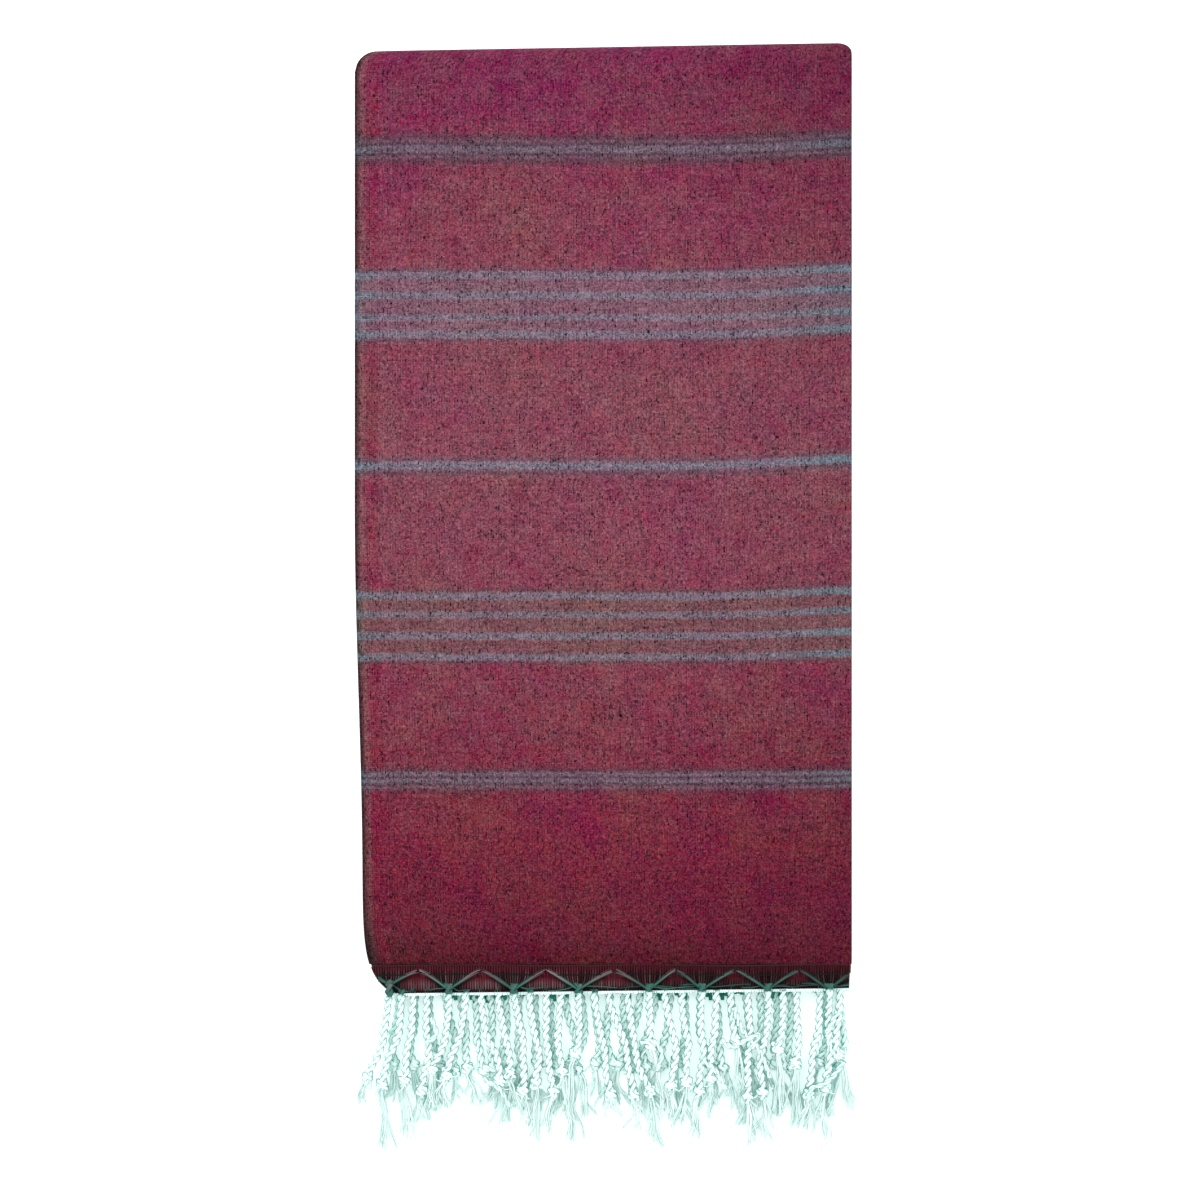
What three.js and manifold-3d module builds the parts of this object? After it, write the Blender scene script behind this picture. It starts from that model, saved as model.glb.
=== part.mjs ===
// A flat-woven cotton towel with knotted, twisted fringes at both ends, about 1 m by 2 m, folded to a
// quarter of its width and a quarter of its length and laid down with the fringed ends together.
// Millimetres, +Z up. The towel lies on Z = 0, the fringes point to -Y and the last fold to +Y.
import * as THREE from "three";
import { mergeVertices } from "three/addons/utils/BufferGeometryUtils.js";
import Module from "manifold-3d";

const wasm = await Module();
wasm.setup();

// The folded towel
const WIDTH = 250;
const LAYER = 1; // one layer of cloth, as it lies in the pile
const LAYERS = 16;
const PILE = LAYER * LAYERS;
const FOLD_RADIUS = PILE / 2;
const WALL = 1.2; // the outer sheet, with the air that it holds
const GAP = 0.3;

// Along the towel, from the line where the cords leave the knots
const WEFT_END = 14.5; // the last weft of the outer sheet
const FOLD_LEFT = 474;
const FOLD_RIGHT = 478;
const TURN_START = 22; // where the sheet underneath turns in, under the fringed ends
const TURN_RADIUS = FOLD_RADIUS / 2 - 0.2;
const TURN_END_DEG = 168;

// Outline seen from above
const LEFT_CORNER = 13;
const RIGHT_CORNER = 6;
const LEFT_LEAN = { least: 0.4, most: 4.2, from: 240, to: 60 };
const CORNER_PULL = { depth: 13, length: 11, until: -4 }; // the first knot pulls the selvedge in

// The fold down the right side: a bundle of 4 layers, wrapped by the outermost one
const WRAP_RADIUS = 2;
const WRAP_LIP = 6;
const WRAP_STEPS = 6;
const TURN_PRESS = { share: 0.72, over: 28 }; // how flat the turn presses the wrap, and in how many degrees
const TURN_STEPS = 6;
const CORE_INSET = 9; // how far the layers inside the turn stay clear of the wrap

// How the pile sags over the turned sheet towards the fringes
const SAG = { curve: 0.012, straightFrom: 14.5 };

// Soft hollows and ridges of the upper side, as a share of the height
const SIDE_DROP = { left: 0.09, leftLength: 7, right: 0.05, rightLength: 12 };
const CREASES = [
  { x: 48, y: 62, width: 9, length: 60, height: -0.035, turn: 0.05 },
  { x: 30, y: 50, width: 11, length: 45, height: 0.025, turn: 0.1 },
  { x: -95, y: 330, width: 12, length: 120, height: 0.02, turn: -0.03 },
  { x: 92, y: 440, width: 16, length: 42, height: -0.05, turn: 0.9 },
  { x: 70, y: 180, width: 26, length: 150, height: 0.03, turn: 0.04 },
  { x: -40, y: 120, width: 30, length: 90, height: -0.025, turn: -0.12 },
];
const CREASE_FADE = { from: 20, to: 70, farFrom: 430, farTo: 465 }; // creases end short of both ends

// The hidden layers, from just under the outer sheet to the middle of the pile: how far each depth
// stays in from the left and right edges, and how far its fringed end reaches past the last weft
const LEVELS = [
  { depth: 1.5, left: 1.2, right: 2.3, reach: 6.4 },
  { depth: 1.9, left: 0.4, right: 2.0, reach: 7.0 },
  { depth: 2.2, left: 1.2, right: 2.3, reach: 6.4 },
  { depth: 2.5, left: 2.4, right: 8.5, reach: 3.4 },
  { depth: 3.3, left: 0.7, right: 8.5, reach: 4.6 },
  { depth: 4.3, left: 2.4, right: 8.5, reach: 3.2 },
  { depth: 4.7, left: 1.6, right: 1.5, reach: 3.6 },
  { depth: 5.3, left: 0.8, right: 0.3, reach: 5.6 },
  { depth: 6.1, left: 2.3, right: 0.0, reach: 4.0 },
  { depth: 6.5, left: 0.9, right: 0.2, reach: 5.2 },
  { depth: 6.9, left: 2.0, right: 0.6, reach: 3.8 },
  { depth: 7.6, left: 1.0, right: 1.8, reach: 4.4 },
];

// The warp ends are gathered and knotted at these places, measured from the left edge
const KNOTS = [17.6, 47.5, 80.1, 112.7, 148.1, 174.7, 207.8, 238.5];
const FANS = [
  { node: "fringe_1", top: WEFT_END - GAP, tip: 3.5, peak: 10.8, shift: 0, thick: 1.1 },
  { node: "fringe_2", top: 6.9, tip: 0, peak: 2.6, shift: 0.27, thick: 0.8 },
];
const FAN_HEM = 0.6;
const FAN_ARCH = [
  { part: 0, rise: 0 },
  { part: 0.08, rise: 0.3 },
  { part: 0.27, rise: 0.72 },
  { part: 0.5, rise: 1 },
  { part: 0.73, rise: 0.72 },
  { part: 0.92, rise: 0.3 },
];
const FAN_LEFT = { rise: 0.12 };
const FAN_RIGHT = { inset: 1, rise: 0.6 };
const FAN_TIP_HEIGHT = 13.9; // the upper face of the first fan, at its knots
const BEYOND_LAST_KNOT = 26; // the spacing past the last knot
const STRIPS = [
  { node: "fringe_3", top: 8.6, bottom: 2.5, depth: 4.9, thick: 0.9, lying: false },
  { node: "fringe_4", top: 8, bottom: -1, depth: 6.3, thick: 1, lying: true },
];

const STRIP_GRID = { columns: 10, rows: 3 };
const STRIP_INSET = { left: 1.6, right: 2 };

// The twisted cords, each with an end knot and a brushed tail
const CORD = 1.8; // half the width of the solid that stands for a cord
const ROOT = { half: 1.1, back: 1.2, grows: 10 }; // a cord starts thin, a little inside its backing
const ROOT_DROP = { first: 0.6, second: 0.5 }; // how far under a fan's face its cords start
const END_KNOT = { wide: 3.1, high: 2.5, half: 4 };
const TAIL = { wide: 3, high: 0.9, start: 0.8 };
const TAIL_DROP = { after: 1.5, over: 5 };
const CORD_RINGS = [0.13, 0.3, 0.5, 0.75, 1];
const KNOT_RINGS = [-0.5, 0.5, 1];
const TAIL_RINGS = [0.5, 1];
const STEP = 4; // the spacing at which the cords' places are worked out
const REACH = 81; // the longest tail's tip
const UPPER = { flat: 8.4, knot: 6.3, tail: 4.4, dropFrom: 44, dropTo: 49, settle: 18 };
const LOWER = { flat: 2.4, knot: 3, tail: 1.4, dropFrom: 30, dropTo: 33, settle: 4 };
const LEAN_AT = 45; // the distance at which a cord has moved sideways by its lean
const LEAN_LIMIT = 1.15;
const SWAY = { length: 8, from: 20, curve: 1.6, straight: 0.35, least: 0.4, most: 1.3 };
const SWEEPS = 200; // rounds of pushing neighbours apart
const WINDOW = [-4, -2, 0, 2, 4]; // a cord's widest place near each step counts
const EDGE_CLEAR = 0.5;

// The cords on top: where each starts across the towel, how far it leans, and how far down its
// end knot and the tip of its tail are
const UPPER_CORDS = [
  { x: -107.4, lean: -11.5, knot: 43, tip: 60, node: 0 },
  { x: -101.5, lean: -8, knot: 47, tip: 81, node: 1 },
  { x: -95.5, lean: -4, knot: 45, tip: 76, node: 2 },
  { x: -88.5, lean: -1, knot: 50, tip: 69, node: 2 },
  { x: -77.4, lean: -7, knot: 39, tip: 61, node: 0 },
  { x: -69, lean: -12, knot: 42, tip: 60, node: 1 },
  { x: -61.5, lean: 9, knot: 45, tip: 54, node: 2 },
  { x: -53, lean: 9, knot: 41, tip: 65, node: 2 },
  { x: -44.8, lean: 7, knot: 50, tip: 69, node: 0 },
  { x: -37, lean: 5, knot: 46, tip: 78, node: 1 },
  { x: -28.5, lean: 2, knot: 50, tip: 74, node: 2 },
  { x: -21, lean: -4, knot: 40, tip: 60, node: 2 },
  { x: -12.2, lean: -3, knot: 31, tip: 80, node: 0 },
  { x: -4.5, lean: 8, knot: 52, tip: 65, node: 1 },
  { x: 2.5, lean: 14, knot: 53, tip: 73, node: 2 },
  { x: 12, lean: 9, knot: 50, tip: 81, node: 2 },
  { x: 23.1, lean: 5, knot: 27, tip: 67, node: 0 },
  { x: 31, lean: 8, knot: 47, tip: 67, node: 1 },
  { x: 40, lean: 1, knot: 46, tip: 71, node: 2 },
  { x: 49.7, lean: -2, knot: 50, tip: 76, node: 0 },
  { x: 57, lean: -3, knot: 44, tip: 61, node: 1 },
  { x: 64.5, lean: 4, knot: 25, tip: 58, node: 2 },
  { x: 73, lean: 1, knot: 53, tip: 80, node: 2 },
  { x: 82.8, lean: -2, knot: 51, tip: 77, node: 0 },
  { x: 90.5, lean: -1, knot: 29, tip: 64, node: 1 },
  { x: 97.5, lean: -0.5, knot: 36, tip: 66, node: 2 },
  { x: 110, lean: -5, knot: 52, tip: 72, node: 2 },
  { x: 113.5, lean: -1, knot: 49, tip: 80, node: 0 },
  { x: 119, lean: 1, knot: 32, tip: 64, node: 1 },
];
// The cords underneath, evenly spaced but for the gap near the right end
const LOWER_CORDS = { count: 29, from: -103, to: 120, gapFrom: 98.5, gapTo: 108.5 };
const LOWER_KNOTS = { from: 36, to: 41 };
const LOWER_TAILS = { from: 15, to: 27 };
const LOWER_LEAN_SPREAD = 2;
const LOWER_LEAN = [
  { x: -115, lean: -5 },
  { x: -85, lean: 5 },
  { x: -66, lean: 10 },
  { x: -40, lean: -4 },
  { x: -15, lean: 6 },
  { x: 10, lean: -6 },
  { x: 35, lean: -6 },
  { x: 60, lean: 7 },
  { x: 90, lean: 2 },
  { x: 122, lean: -3 },
];

// The grids that the outer sheet and the layers inside it share, so that they bend alike
const ACROSS = [0, 0.02, 0.06, 0.14, 0.26, 0.38, 0.5, 0.62, 0.74, 0.86, 0.95, 1];
const FRONT = [0, 0.008, 0.018, 0.045, 0.09, 0.15, 0.23, 0.34, 0.45, 0.57, 0.69, 0.81, 0.9, 0.96];
const FOLD_STEPS = 8;
const UNDER = [0.25, 0.5, 0.75];

const COTTON = { cloth: 0x7f3a4b, inner: 0x6d2f40, cord: 0xeaf7f3 };

function clamp01(t) {
  return Math.min(1, Math.max(0, t));
}

function ease(from, to, value) {
  const t = clamp01((value - from) / (to - from));
  return t * t * (3 - 2 * t);
}

function mix(a, b, t) {
  return a + (b - a) * t;
}

// A repeatable number from 0 to 1 for each pair of whole numbers.
function chance(a, b) {
  const n = Math.sin(a * 12.9898 + b * 78.233) * 43758.5453;
  return n - Math.floor(n);
}

// A value read from a table's rows at x, eased between them.
function along(rows, x, column) {
  let i = 0;
  while (i < rows.length - 2 && x > rows[i + 1].x) i++;
  return mix(rows[i][column], rows[i + 1][column], ease(rows[i].x, rows[i + 1].x, x));
}

function foldLine(x) {
  return mix(FOLD_LEFT, FOLD_RIGHT, clamp01(x / WIDTH + 0.5));
}

function roundCorner(radius, toCorner) {
  const t = radius - Math.max(0, Math.min(radius, toCorner));
  return radius - Math.sqrt(Math.max(0, radius * radius - t * t));
}

function leftEdge(y) {
  const lean = mix(LEFT_LEAN.least, LEFT_LEAN.most, ease(LEFT_LEAN.from, LEFT_LEAN.to, y));
  const pull = CORNER_PULL.depth * Math.exp(-Math.max(y, CORNER_PULL.until) / CORNER_PULL.length);
  return -WIDTH / 2 + lean + pull + roundCorner(LEFT_CORNER, FOLD_LEFT - y);
}

function rightEdge(y) {
  return WIDTH / 2 - roundCorner(RIGHT_CORNER, FOLD_RIGHT - y);
}

function sag(y) {
  const t = Math.max(0, TURN_START - y);
  const curved = Math.min(t, SAG.straightFrom);
  return SAG.curve * curved * curved + 2 * SAG.curve * SAG.straightFrom * (t - curved);
}

// How much higher or lower the pile is at a place, as a factor that leaves the underside flat.
function relief(x, y) {
  const fromLeft = x - leftEdge(y);
  const fromRight = rightEdge(y) - x;
  const { from, to, farFrom, farTo } = CREASE_FADE;
  const fade = ease(from, to, y) * (1 - ease(farFrom, farTo, y));
  let share = 1;
  share -= SIDE_DROP.left * Math.exp(-Math.max(0, fromLeft) / SIDE_DROP.leftLength);
  share -= SIDE_DROP.right * Math.exp(-Math.max(0, fromRight) / SIDE_DROP.rightLength);
  for (const c of CREASES) {
    const u = (x - c.x) * Math.cos(c.turn) + (y - c.y) * Math.sin(c.turn);
    const v = -(x - c.x) * Math.sin(c.turn) + (y - c.y) * Math.cos(c.turn);
    share += c.height * fade * Math.exp(-((u / c.width) ** 2) - (v / c.length) ** 2);
  }
  return share;
}

// A place in the pile: x across, depth under its outer face, and a station of the path that the
// outer sheet takes: up the front, round the last fold, down the underside and round the turn.
function inPile(station, x, depth) {
  const foldCentre = foldLine(x) - FOLD_RADIUS;
  if (station.part === "front") {
    const y = mix(station.start, foldCentre, station.share);
    return { y, z: PILE - sag(y) - depth };
  }
  if (station.part === "fold") {
    const angle = THREE.MathUtils.degToRad(station.angle);
    const r = FOLD_RADIUS - depth;
    return { y: foldCentre + r * Math.sin(angle), z: FOLD_RADIUS + r * Math.cos(angle) };
  }
  if (station.part === "under") {
    return { y: mix(foldCentre, station.end, station.share), z: depth };
  }
  const angle = THREE.MathUtils.degToRad(station.angle);
  const r = TURN_RADIUS - depth;
  return { y: TURN_START - r * Math.sin(angle), z: TURN_RADIUS - r * Math.cos(angle) };
}

function lifted(x, y, z) {
  return [x, y, z * relief(x, y)];
}

function steps(count, make) {
  return Array.from({ length: count + 1 }, (_, i) => make(i / count));
}

function degrees(from, to, count) {
  return steps(count, (t) => mix(from, to, t));
}

// A box whose grid points are moved to where place(column, level, station) puts them.
function shaped(columns, levels, stations, place) {
  const box = new THREE.BoxGeometry(1, 1, 1, columns, levels, stations);
  box.deleteAttribute("normal");
  box.deleteAttribute("uv");
  const geometry = mergeVertices(box, 1e-6);
  const p = geometry.attributes.position;
  for (let i = 0; i < p.count; i++) {
    const column = Math.round((p.getX(i) + 0.5) * columns);
    const level = Math.round((0.5 - p.getY(i)) * levels);
    const station = Math.round((0.5 - p.getZ(i)) * stations);
    p.setXYZ(i, ...place(column, level, station));
  }
  return geometry;
}

// The outermost sheet: the front, the last fold, the underside and the turn under the fringes.
function outerSheet() {
  const wrap = degrees(0, 180, WRAP_STEPS).slice(1);
  const columns = [
    ...ACROSS.map((share) => ({ share, angle: 0, lip: 0 })),
    ...wrap.map((angle) => ({ share: 1, angle, lip: 0 })),
    { share: 1, angle: 180, lip: WRAP_LIP },
  ];
  const stations = [
    ...FRONT.map((share) => ({ part: "front", share, start: WEFT_END })),
    ...degrees(0, 180, FOLD_STEPS).map((angle) => ({ part: "fold", angle })),
    ...UNDER.map((share) => ({ part: "under", share, end: TURN_START })),
    ...degrees(0, TURN_END_DEG, TURN_STEPS).map((angle) => ({ part: "turn", angle })),
  ];
  return shaped(columns.length - 1, 1, stations.length - 1, (i, level, k) => {
    const { share, angle, lip } = columns[i];
    const station = stations[k];
    const inner = level * WALL;
    const turned = THREE.MathUtils.degToRad(angle);
    const depth = WRAP_RADIUS - (WRAP_RADIUS - inner) * Math.cos(turned);
    const rough = mix(-WIDTH / 2, WIDTH / 2, share);
    // Round the turn the wrap is pressed flatter, so that its lip stays outside the turn's middle.
    const turning = station.part === "turn" ? clamp01(station.angle / TURN_PRESS.over) : 0;
    const pressed = mix(1, TURN_PRESS.share, turning * Math.sin(turned / 2));
    const { y, z } = inPile(station, rough, depth * pressed);
    const right = rightEdge(y) - WRAP_RADIUS;
    const bulge = (WRAP_RADIUS - inner) * Math.sin(turned) - lip;
    const x = mix(leftEdge(y), right, share) + bulge;
    return lifted(x, y, z);
  });
}

// Every layer inside the outer sheet, as one solid with the layers showing at its edges.
function innerLayers() {
  const flatEnd = TURN_START + GAP;
  const stations = [
    { part: "front", share: 0, reaches: true },
    ...FRONT.map((share) => ({ part: "front", share, start: WEFT_END })),
    ...degrees(0, 180, FOLD_STEPS).map((angle) => ({ part: "fold", angle })),
    ...UNDER.map((share) => ({ part: "under", share, end: flatEnd })),
    { part: "under", share: 1, end: flatEnd },
    { part: "under", share: 1, core: true },
  ];
  const last = ACROSS.length - 1;
  return shaped(last, LEVELS.length - 1, stations.length - 1, (i, j, k) => {
    const row = LEVELS[j];
    const station = { ...stations[k] };
    if (station.reaches) station.start = WEFT_END - row.reach;
    if (station.core) station.end = i === last ? flatEnd : turnedEnd(row.depth);
    const rough = mix(-WIDTH / 2, WIDTH / 2, ACROSS[i]);
    const { y, z } = inPile(station, rough, row.depth);
    const inset = station.core ? CORE_INSET : row.right;
    const x = mix(leftEdge(y) + row.left, rightEdge(y) - inset, ACROSS[i]);
    return lifted(x, y, z);
  });
}

// Where the inner layers end inside the turned sheet: rounded, and short of the sheet's own end.
function turnedEnd(depth) {
  const r = TURN_RADIUS - WALL - GAP;
  const up = (depth - TURN_RADIUS) / r;
  return TURN_START + GAP / 2 - r * Math.sqrt(Math.max(0, 1 - up * up));
}

function knotX(place) {
  const i = Math.min(Math.floor(place), KNOTS.length - 2);
  const share = place - i;
  const beyond = Math.max(0, place - (KNOTS.length - 1));
  const last = KNOTS[KNOTS.length - 1];
  return beyond > 0
    ? last + beyond * BEYOND_LAST_KNOT - WIDTH / 2
    : mix(KNOTS[i], KNOTS[i + 1], share) - WIDTH / 2;
}

// The warp ends of one layer, gathered in fans: straight along the weft, pointed at each knot.
function fanStrip({ top, tip, peak, shift, thick }) {
  const last = KNOTS.length - 1;
  const columns = [{ edge: leftEdge, rise: FAN_LEFT.rise }];
  for (let k = 0; k < last; k++) {
    const [here, next] = [knotX(k + shift), knotX(k + 1 + shift)];
    FAN_ARCH.forEach((row) => columns.push({ x: mix(here, next, row.part), rise: row.rise }));
  }
  columns.push({ x: knotX(last + shift), rise: 0 });
  columns.push({ x: WIDTH / 2 - FAN_RIGHT.inset, rise: FAN_RIGHT.rise });
  return shaped(columns.length - 1, 1, 1, (i, level, k) => {
    const { x, edge, rise } = columns[i];
    const y = k === 0 ? mix(tip, peak, rise) - FAN_HEM : top;
    return lifted(edge ? edge(y) + FAN_HEM : x, y, fanHeight(shift, y) - level * thick);
  });
}

// The upper face of a fan: the first hangs straight from the last weft, the second follows the pile.
function fanHeight(shift, y) {
  if (shift === 0) {
    const down = clamp01((WEFT_END - y) / (WEFT_END - FANS[0].tip));
    return mix(PILE - sag(WEFT_END), FAN_TIP_HEIGHT, down);
  }
  return PILE - sag(y) - LEVELS[0].depth;
}

// The warp ends of several hidden layers, as one plain strip.
function plainStrip(strip) {
  const { top, bottom, thick } = strip;
  const { columns, rows } = STRIP_GRID;
  return shaped(columns, 1, rows, (i, level, k) => {
    const y = mix(bottom, top, k / rows);
    const z = stripHeight(strip, y) - (level - 0.5) * thick;
    const right = WIDTH / 2 - STRIP_INSET.right;
    return lifted(mix(leftEdge(y) + STRIP_INSET.left, right, i / columns), y, z);
  });
}

// Half way through a plain strip: it follows the pile, or comes down from it to where cords lie.
function stripHeight({ lying, depth, top, bottom }, y) {
  const pile = PILE - sag(y) - depth;
  return lying ? mix(LOWER.flat, PILE - sag(top) - depth, ease(bottom, top, y)) : pile;
}

function upperCords() {
  return UPPER_CORDS.map((row, n) => ({ ...row, rest: UPPER, ...swayOf(n, 1) }));
}

function lowerCords() {
  const { count, from, to, gapFrom, gapTo } = LOWER_CORDS;
  return Array.from({ length: count }, (_, n) => {
    const even = mix(from, to - (gapTo - gapFrom), n / (count - 1));
    const x = even > gapFrom ? even + gapTo - gapFrom : even;
    const knot = mix(LOWER_KNOTS.from, LOWER_KNOTS.to, chance(n, 3));
    const tail = mix(LOWER_TAILS.from, LOWER_TAILS.to, chance(n, 4));
    const spread = mix(-LOWER_LEAN_SPREAD, LOWER_LEAN_SPREAD, chance(n, 5));
    const lean = along(LOWER_LEAN, x, "lean") + spread;
    const tip = knot + END_KNOT.half + tail;
    return { x, lean, knot, tip, node: 3, rest: LOWER, ...swayOf(n, 2) };
  });
}

// How a cord waves from side to side on its way down.
function swayOf(n, level) {
  return { wave: mix(SWAY.least, SWAY.most, chance(n, level)), phase: 2 * Math.PI * chance(n, level + 10) };
}

// Half a cord's width and height at a distance s from the line where the cords begin.
function cordSize(c, s) {
  const past = s - c.knot;
  if (Math.abs(past) <= END_KNOT.half) {
    const t = Math.sqrt(1 - (past / END_KNOT.half) ** 2);
    return { wide: mix(CORD, END_KNOT.wide, t), high: mix(CORD, END_KNOT.high, t) };
  }
  if (past < 0) return { wide: CORD, high: CORD };
  const t = clamp01((past - END_KNOT.half) / (c.tip - c.knot - END_KNOT.half));
  const start = CORD * TAIL.start;
  return { wide: mix(start, TAIL.wide, t), high: mix(start, TAIL.high, t) };
}

// Pushes neighbours apart until none touch, row by row down the fringe.
function lanes(cords) {
  const rows = [];
  for (let s = -STEP; s <= REACH + STEP; s += STEP) {
    const xs = cords.map((c) => {
      const down = Math.min(Math.max(0, s) / LEAN_AT, LEAN_LIMIT);
      const swing = c.wave * Math.sin(s / SWAY.length + c.phase) * clamp01(s / SWAY.from);
      return c.x + c.lean * mix(down ** SWAY.curve, down, SWAY.straight) + swing;
    });
    const widths = cords.map((c) =>
      Math.max(...WINDOW.map((d) => cordSize(c, s + d).wide)),
    );
    for (let sweep = 0; sweep < SWEEPS; sweep++) {
      for (let i = 0; i + 1 < xs.length; i++) {
        const lack = widths[i] + widths[i + 1] + 2 * GAP - (xs[i + 1] - xs[i]);
        if (lack > 0) {
          xs[i] -= lack / 2;
          xs[i + 1] += lack / 2;
        }
      }
      const last = xs.length - 1;
      const over = xs[last] + widths[last] - WIDTH / 2 + EDGE_CLEAR;
      if (over > 0) xs[last] -= over;
    }
    rows.push(xs);
  }
  return rows;
}

function laneX(rows, index, s) {
  const t = (s + STEP) / STEP;
  const i = Math.max(0, Math.min(rows.length - 2, Math.floor(t)));
  return mix(rows[i][index], rows[i + 1][index], t - i);
}

function cordHeight(c, root, s) {
  const { flat, knot, tail, dropFrom, dropTo, settle } = c.rest;
  const tailFrom = Math.max(c.knot + TAIL_DROP.after, dropTo);
  const lying = mix(
    mix(flat, knot, ease(dropFrom, dropTo, s)),
    tail,
    ease(tailFrom, tailFrom + TAIL_DROP.over, s),
  );
  return mix(root.z, lying, ease(root.s, root.s + settle, s));
}

function rootOf(c) {
  const [first, second] = FANS;
  if (c.node === 0) return { s: -first.tip, z: fanHeight(0, first.tip) - ROOT_DROP.first };
  if (c.node === 1) return { s: -second.tip, z: fanHeight(1, second.tip) - ROOT_DROP.second };
  const strip = STRIPS[c.node - 2];
  return { s: -strip.bottom, z: stripHeight(strip, strip.bottom) };
}

// One cord as a closed tube with four sides.
function cordSolid(c, rows, index) {
  const root = rootOf(c);
  const reach = c.knot - END_KNOT.half - root.s;
  const rings = [
    root.s - ROOT.back,
    ...CORD_RINGS.map((t) => root.s + t * reach),
    ...KNOT_RINGS.map((t) => c.knot + t * END_KNOT.half),
    ...TAIL_RINGS.map((t) => mix(c.knot + END_KNOT.half, c.tip, t)),
  ];
  const corners = [
    [-1, 1],
    [1, 1],
    [1, -1],
    [-1, -1],
  ];
  const points = rings.flatMap((s) => {
    const { wide, high } = cordSize(c, s);
    const x = laneX(rows, index, Math.max(s, root.s));
    const z = cordHeight(c, root, s);
    const half = Math.min(high, mix(ROOT.half, high, ease(root.s, root.s + ROOT.grows, s)));
    return corners.map(([u, v]) => [x + u * wide, -s, z + v * half]);
  });
  const faces = [];
  for (let r = 0; r + 1 < rings.length; r++) {
    for (let n = 0; n < 4; n++) {
      const [a, b] = [r * 4 + n, r * 4 + ((n + 1) % 4)];
      faces.push(a, a + 4, b, b, a + 4, b + 4);
    }
  }
  const end = points.length - 4;
  faces.push(0, 1, 2, 0, 2, 3, end, end + 2, end + 1, end, end + 3, end + 2);
  const geometry = new THREE.BufferGeometry();
  geometry.setAttribute("position", new THREE.Float32BufferAttribute(points.flat(), 3));
  geometry.setIndex(faces);
  return geometry;
}

function toSolid(geometry) {
  const merged = mergeVertices(geometry, 1e-4);
  return new wasm.Manifold(
    new wasm.Mesh({
      numProp: 3,
      vertProperties: new Float32Array(merged.attributes.position.array),
      triVerts: new Uint32Array(merged.index.array),
    }),
  );
}

function toGeometry(solid) {
  const made = solid.getMesh();
  const geometry = new THREE.BufferGeometry();
  geometry.setAttribute("position", new THREE.BufferAttribute(made.vertProperties, 3));
  geometry.setIndex(new THREE.BufferAttribute(made.triVerts, 1));
  return geometry;
}

function cottonMesh(name, geometry, color, roughness) {
  const material = new THREE.MeshStandardMaterial({ color, roughness, metalness: 0 });
  geometry.computeVertexNormals();
  const mesh = new THREE.Mesh(geometry, material);
  mesh.name = name;
  return mesh;
}

// Each backing with the cords that hang from it.
function fringes() {
  const backings = [...FANS.map(fanStrip), ...STRIPS.map(plainStrip)].map(toSolid);
  for (const cords of [upperCords(), lowerCords()]) {
    const rows = lanes(cords);
    cords.forEach((c, index) => {
      backings[c.node] = backings[c.node].add(toSolid(cordSolid(c, rows, index)));
    });
  }
  const names = [...FANS, ...STRIPS].map(({ node }) => node);
  return backings.map((solid, n) => cottonMesh(names[n], toGeometry(solid), COTTON.cord, 0.95));
}

const towel = new THREE.Group();
towel.add(cottonMesh("outer_sheet", outerSheet(), COTTON.cloth, 0.9));
towel.add(cottonMesh("inner_layers", innerLayers(), COTTON.inner, 0.9));
towel.add(...fringes());

// The origin is under the middle of the towel, fringes included.
const bounds = new THREE.Box3().setFromObject(towel);
towel.position.set(
  -(bounds.min.x + bounds.max.x) / 2,
  -(bounds.min.y + bounds.max.y) / 2,
  -bounds.min.z,
);

const part = new THREE.Group();
part.add(towel);

export default part;
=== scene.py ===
import math

import bpy
from bpy.props import FloatProperty, FloatVectorProperty, IntProperty, PointerProperty
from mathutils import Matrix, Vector


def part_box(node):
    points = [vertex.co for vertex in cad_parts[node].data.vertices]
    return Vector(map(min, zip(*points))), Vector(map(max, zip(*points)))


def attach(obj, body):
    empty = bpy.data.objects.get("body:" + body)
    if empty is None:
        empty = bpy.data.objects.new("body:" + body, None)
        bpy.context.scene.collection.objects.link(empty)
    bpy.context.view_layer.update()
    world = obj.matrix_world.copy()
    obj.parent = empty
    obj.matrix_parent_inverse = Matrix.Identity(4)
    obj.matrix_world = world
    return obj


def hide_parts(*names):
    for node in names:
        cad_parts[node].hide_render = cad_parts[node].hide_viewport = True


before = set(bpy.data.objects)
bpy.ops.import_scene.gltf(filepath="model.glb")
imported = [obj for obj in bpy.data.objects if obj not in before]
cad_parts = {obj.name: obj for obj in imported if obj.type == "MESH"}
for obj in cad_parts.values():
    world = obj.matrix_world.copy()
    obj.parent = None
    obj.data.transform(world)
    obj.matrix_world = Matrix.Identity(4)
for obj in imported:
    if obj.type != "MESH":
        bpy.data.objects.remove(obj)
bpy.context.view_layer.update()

bl_info = {
    "name": "Folded fouta towel",
    "version": (1, 0, 0),
    "blender": (4, 5, 0),
    "location": "3D View > Sidebar > Towel",
    "description": "A flat-woven cotton towel, folded, with knotted and twisted fringes",
    "category": "Object",
}

SHEET_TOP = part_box("outer_sheet")[1][1] * 1000

# Sizes of the solids, in millimetres. Y is measured from the line where the cords begin.
WIDTH = 250
PILE = 16
FOLD_RADIUS = 8
WEFT_END = 14.5
FOLD_LEFT = 474
FOLD_RIGHT = 478
TURN_START = 22
TURN_RADIUS = 3.8
TURN_END = 168
TURN_PRESS = 0.72
WRAP_RADIUS = 2
WRAP_LIP = 6
SHIFT_Y = SHEET_TOP - FOLD_RIGHT
KNOTS = [17.6, 47.5, 80.1, 112.7, 148.1, 174.7, 207.8, 238.5]
FOLD_LENGTH = math.pi * FOLD_RADIUS
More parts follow.
